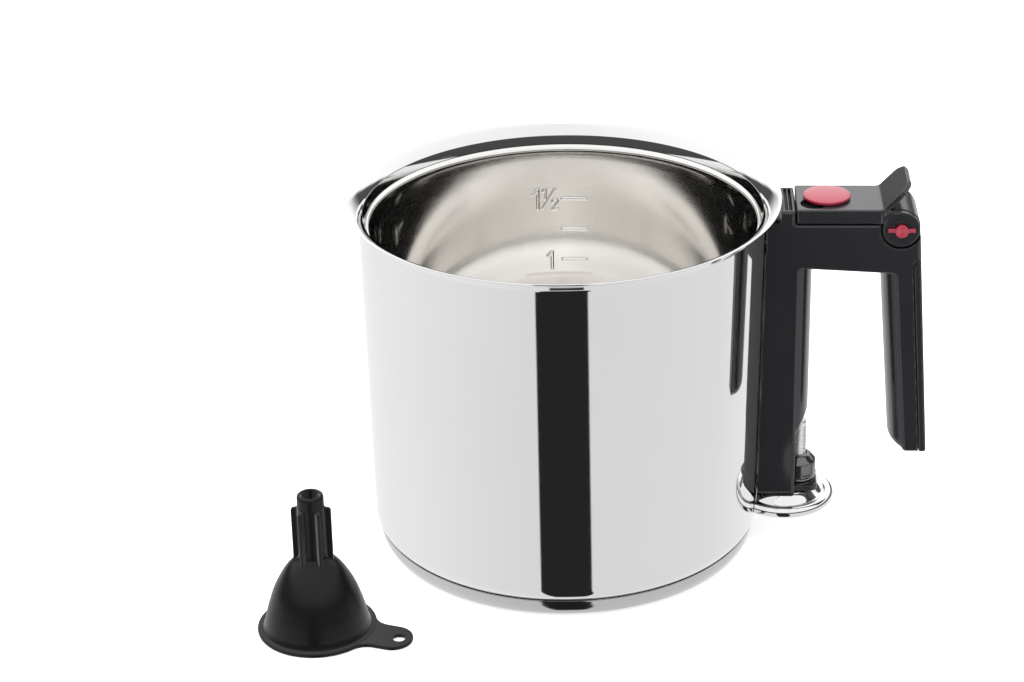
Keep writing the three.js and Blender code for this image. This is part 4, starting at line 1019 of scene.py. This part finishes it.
# ---- CAD nodes that stay ----
for node, finish in (
    ("base_core", "base_core"), ("filler_neck", "plain_steel"), ("neck_gasket", "silicone"),
    ("hook_bracket", "plain_steel"), ("nut_insert", "brass"), ("pin_clip", "spring_wire"),
):
    kept = frame["nodes"][node]
    kept.data.materials.clear()
    kept.data.materials.append(FINISH[finish])

# ---- Studio ----
# angles in degrees as seen from the pot, azimuth 0 to the front
SWEEP = ((-180, 0.98), (-140, 0.90), (-100, 0.86), (-60, 0.80), (-20, 0.745), (20, 0.735),
         (60, 0.75), (100, 0.78), (140, 0.88), (180, 0.98))
STRIP_DARKNESS = 0.975
ROOM_DARKNESS = 0.93
OVERHEAD_GAIN = 0.22
FLOOR_REACH, FLOOR_DROP, FLOOR_GLOW = 8.0, 0.0002, 0.55


def studio_world():
    world = bpy.data.worlds.new("studio")
    bpy.context.scene.world = world
    world.use_nodes = True
    nodes, links = world.node_tree.nodes, world.node_tree.links
    background = nodes["Background"]

    def maths(operation, a, b=None, c=None):
        node = nodes.new("ShaderNodeMath")
        node.operation = operation
        for socket, value in zip(node.inputs, (a, b, c)):
            if value is None:
                continue
            if isinstance(value, (int, float)):
                socket.default_value = value
            else:
                links.new(value, socket)
        return node.outputs[0]

    def step(value, edge0, edge1):
        node = nodes.new("ShaderNodeMapRange")
        node.interpolation_type = "SMOOTHSTEP"
        links.new(value, node.inputs["Value"])
        node.inputs["From Min"].default_value = edge0
        node.inputs["From Max"].default_value = edge1
        return node.outputs[0]

    place = nodes.new("ShaderNodeTexCoord")
    split = nodes.new("ShaderNodeSeparateXYZ")
    links.new(place.outputs["Generated"], split.inputs[0])
    x, y, z = split.outputs
    front = maths("MULTIPLY", y, -1)
    azimuth = maths("DEGREES", maths("ARCTAN2", x, front))
    elevation = maths("DEGREES", maths("ARCSINE", z))
    share = maths("DIVIDE", maths("ADD", azimuth, 180), 360)
    sweep = ramp(nodes, [(p / 360 + 0.5, v) for p, v in SWEEP])
    links.new(share, sweep.inputs["Fac"])
    # a dark strip below the horizon in front, its right edge moving with height
    right = maths("ADD", azimuth, maths("MULTIPLY", maths("ADD", elevation, 25), 0.2))
    strip = maths("MULTIPLY", step(azimuth, -14.0, -13.0), step(right, 16.0, 14.8))
    span = maths("MULTIPLY", step(elevation, -78, -72), step(elevation, 2, -2))
    strip = maths("MULTIPLY", maths("MULTIPLY", strip, span), STRIP_DARKNESS)
    level = maths("MULTIPLY", sweep.outputs["Color"], maths("SUBTRACT", 1, strip))
    # a low dark band round the room, open at the back
    dark = maths("MULTIPLY", step(elevation, -5, -1), step(elevation, 19, 14))
    ahead = maths("MULTIPLY", step(azimuth, -172, -155), step(azimuth, 172, 155))
    dark = maths("MULTIPLY", dark, ahead)
    # more light from above
    upper = step(elevation, -2, 10)
    bright = maths("ADD", maths("MULTIPLY", upper, OVERHEAD_GAIN), level)
    total = maths("MULTIPLY", bright, maths("SUBTRACT", 1, maths("MULTIPLY", dark, ROOM_DARKNESS)))
    links.new(total, background.inputs["Color"])
    background.inputs["Strength"].default_value = 1.0


def area(name, location, target, size, power, glossy=True):
    light = bpy.data.lights.new(name, "AREA")
    light.shape = "RECTANGLE"
    light.size, light.size_y = size
    light.energy = power
    obj = bpy.data.objects.new(name, light)
    bpy.context.scene.collection.objects.link(obj)
    obj.location = location
    aim = Matrix.Translation(location).inverted() @ Matrix.Translation(target)
    obj.rotation_euler = aim.translation.to_track_quat("-Z", "Y").to_euler()
    obj.visible_glossy = glossy
    return obj


def studio_floor():
    size = FLOOR_REACH
    mesh = bpy.data.meshes.new("studio_floor")
    mesh.from_pydata([(-size, -size, 0), (size, -size, 0), (size, size, 0), (-size, size, 0)], [],
                     [(0, 1, 2, 3)])
    floor = bpy.data.objects.new("studio_floor", mesh)
    bpy.context.scene.collection.objects.link(floor)
    floor.location.z = -FLOOR_DROP
    mat = surface_material("pale_floor", (0.93, 0.93, 0.93), 0.0, (0.6, 0.7), 60, 0.02, drift=0.005)
    mesh.materials.append(mat)
    shader = mat.node_tree.nodes["Principled BSDF"]
    shader.inputs["Emission Color"].default_value = (1, 1, 1, 1)
    shader.inputs["Emission Strength"].default_value = FLOOR_GLOW
    floor.visible_glossy = False


studio_world()
studio_floor()
area("overhead", (-0.1, 0.1, 1.6), (0, 0, 0), (2.2, 2.2), 26, glossy=False)
area("left_box", (-1.3, -0.5, 0.8), (0, 0, 0.08), (0.9, 1.2), 3, glossy=False)

# ---- Camera ----
camera_data = bpy.data.cameras.new("camera")
camera = bpy.data.objects.new("camera", camera_data)
bpy.context.scene.collection.objects.link(camera)
camera_data.lens = 94.0
camera_data.sensor_width = 36.0
camera_data.clip_start, camera_data.clip_end = 0.05, 30
camera.matrix_world = Matrix((
    (0.99846, -0.00414, 0.05511, 0.03885),
    (0.05151, 0.43069, -0.90102, -0.98431),
    (-0.02001, 0.90249, 0.43025, 0.55418),
    (0, 0, 0, 1),
))
bpy.context.scene.camera = camera
bpy.context.scene.view_settings.view_transform = "Standard"
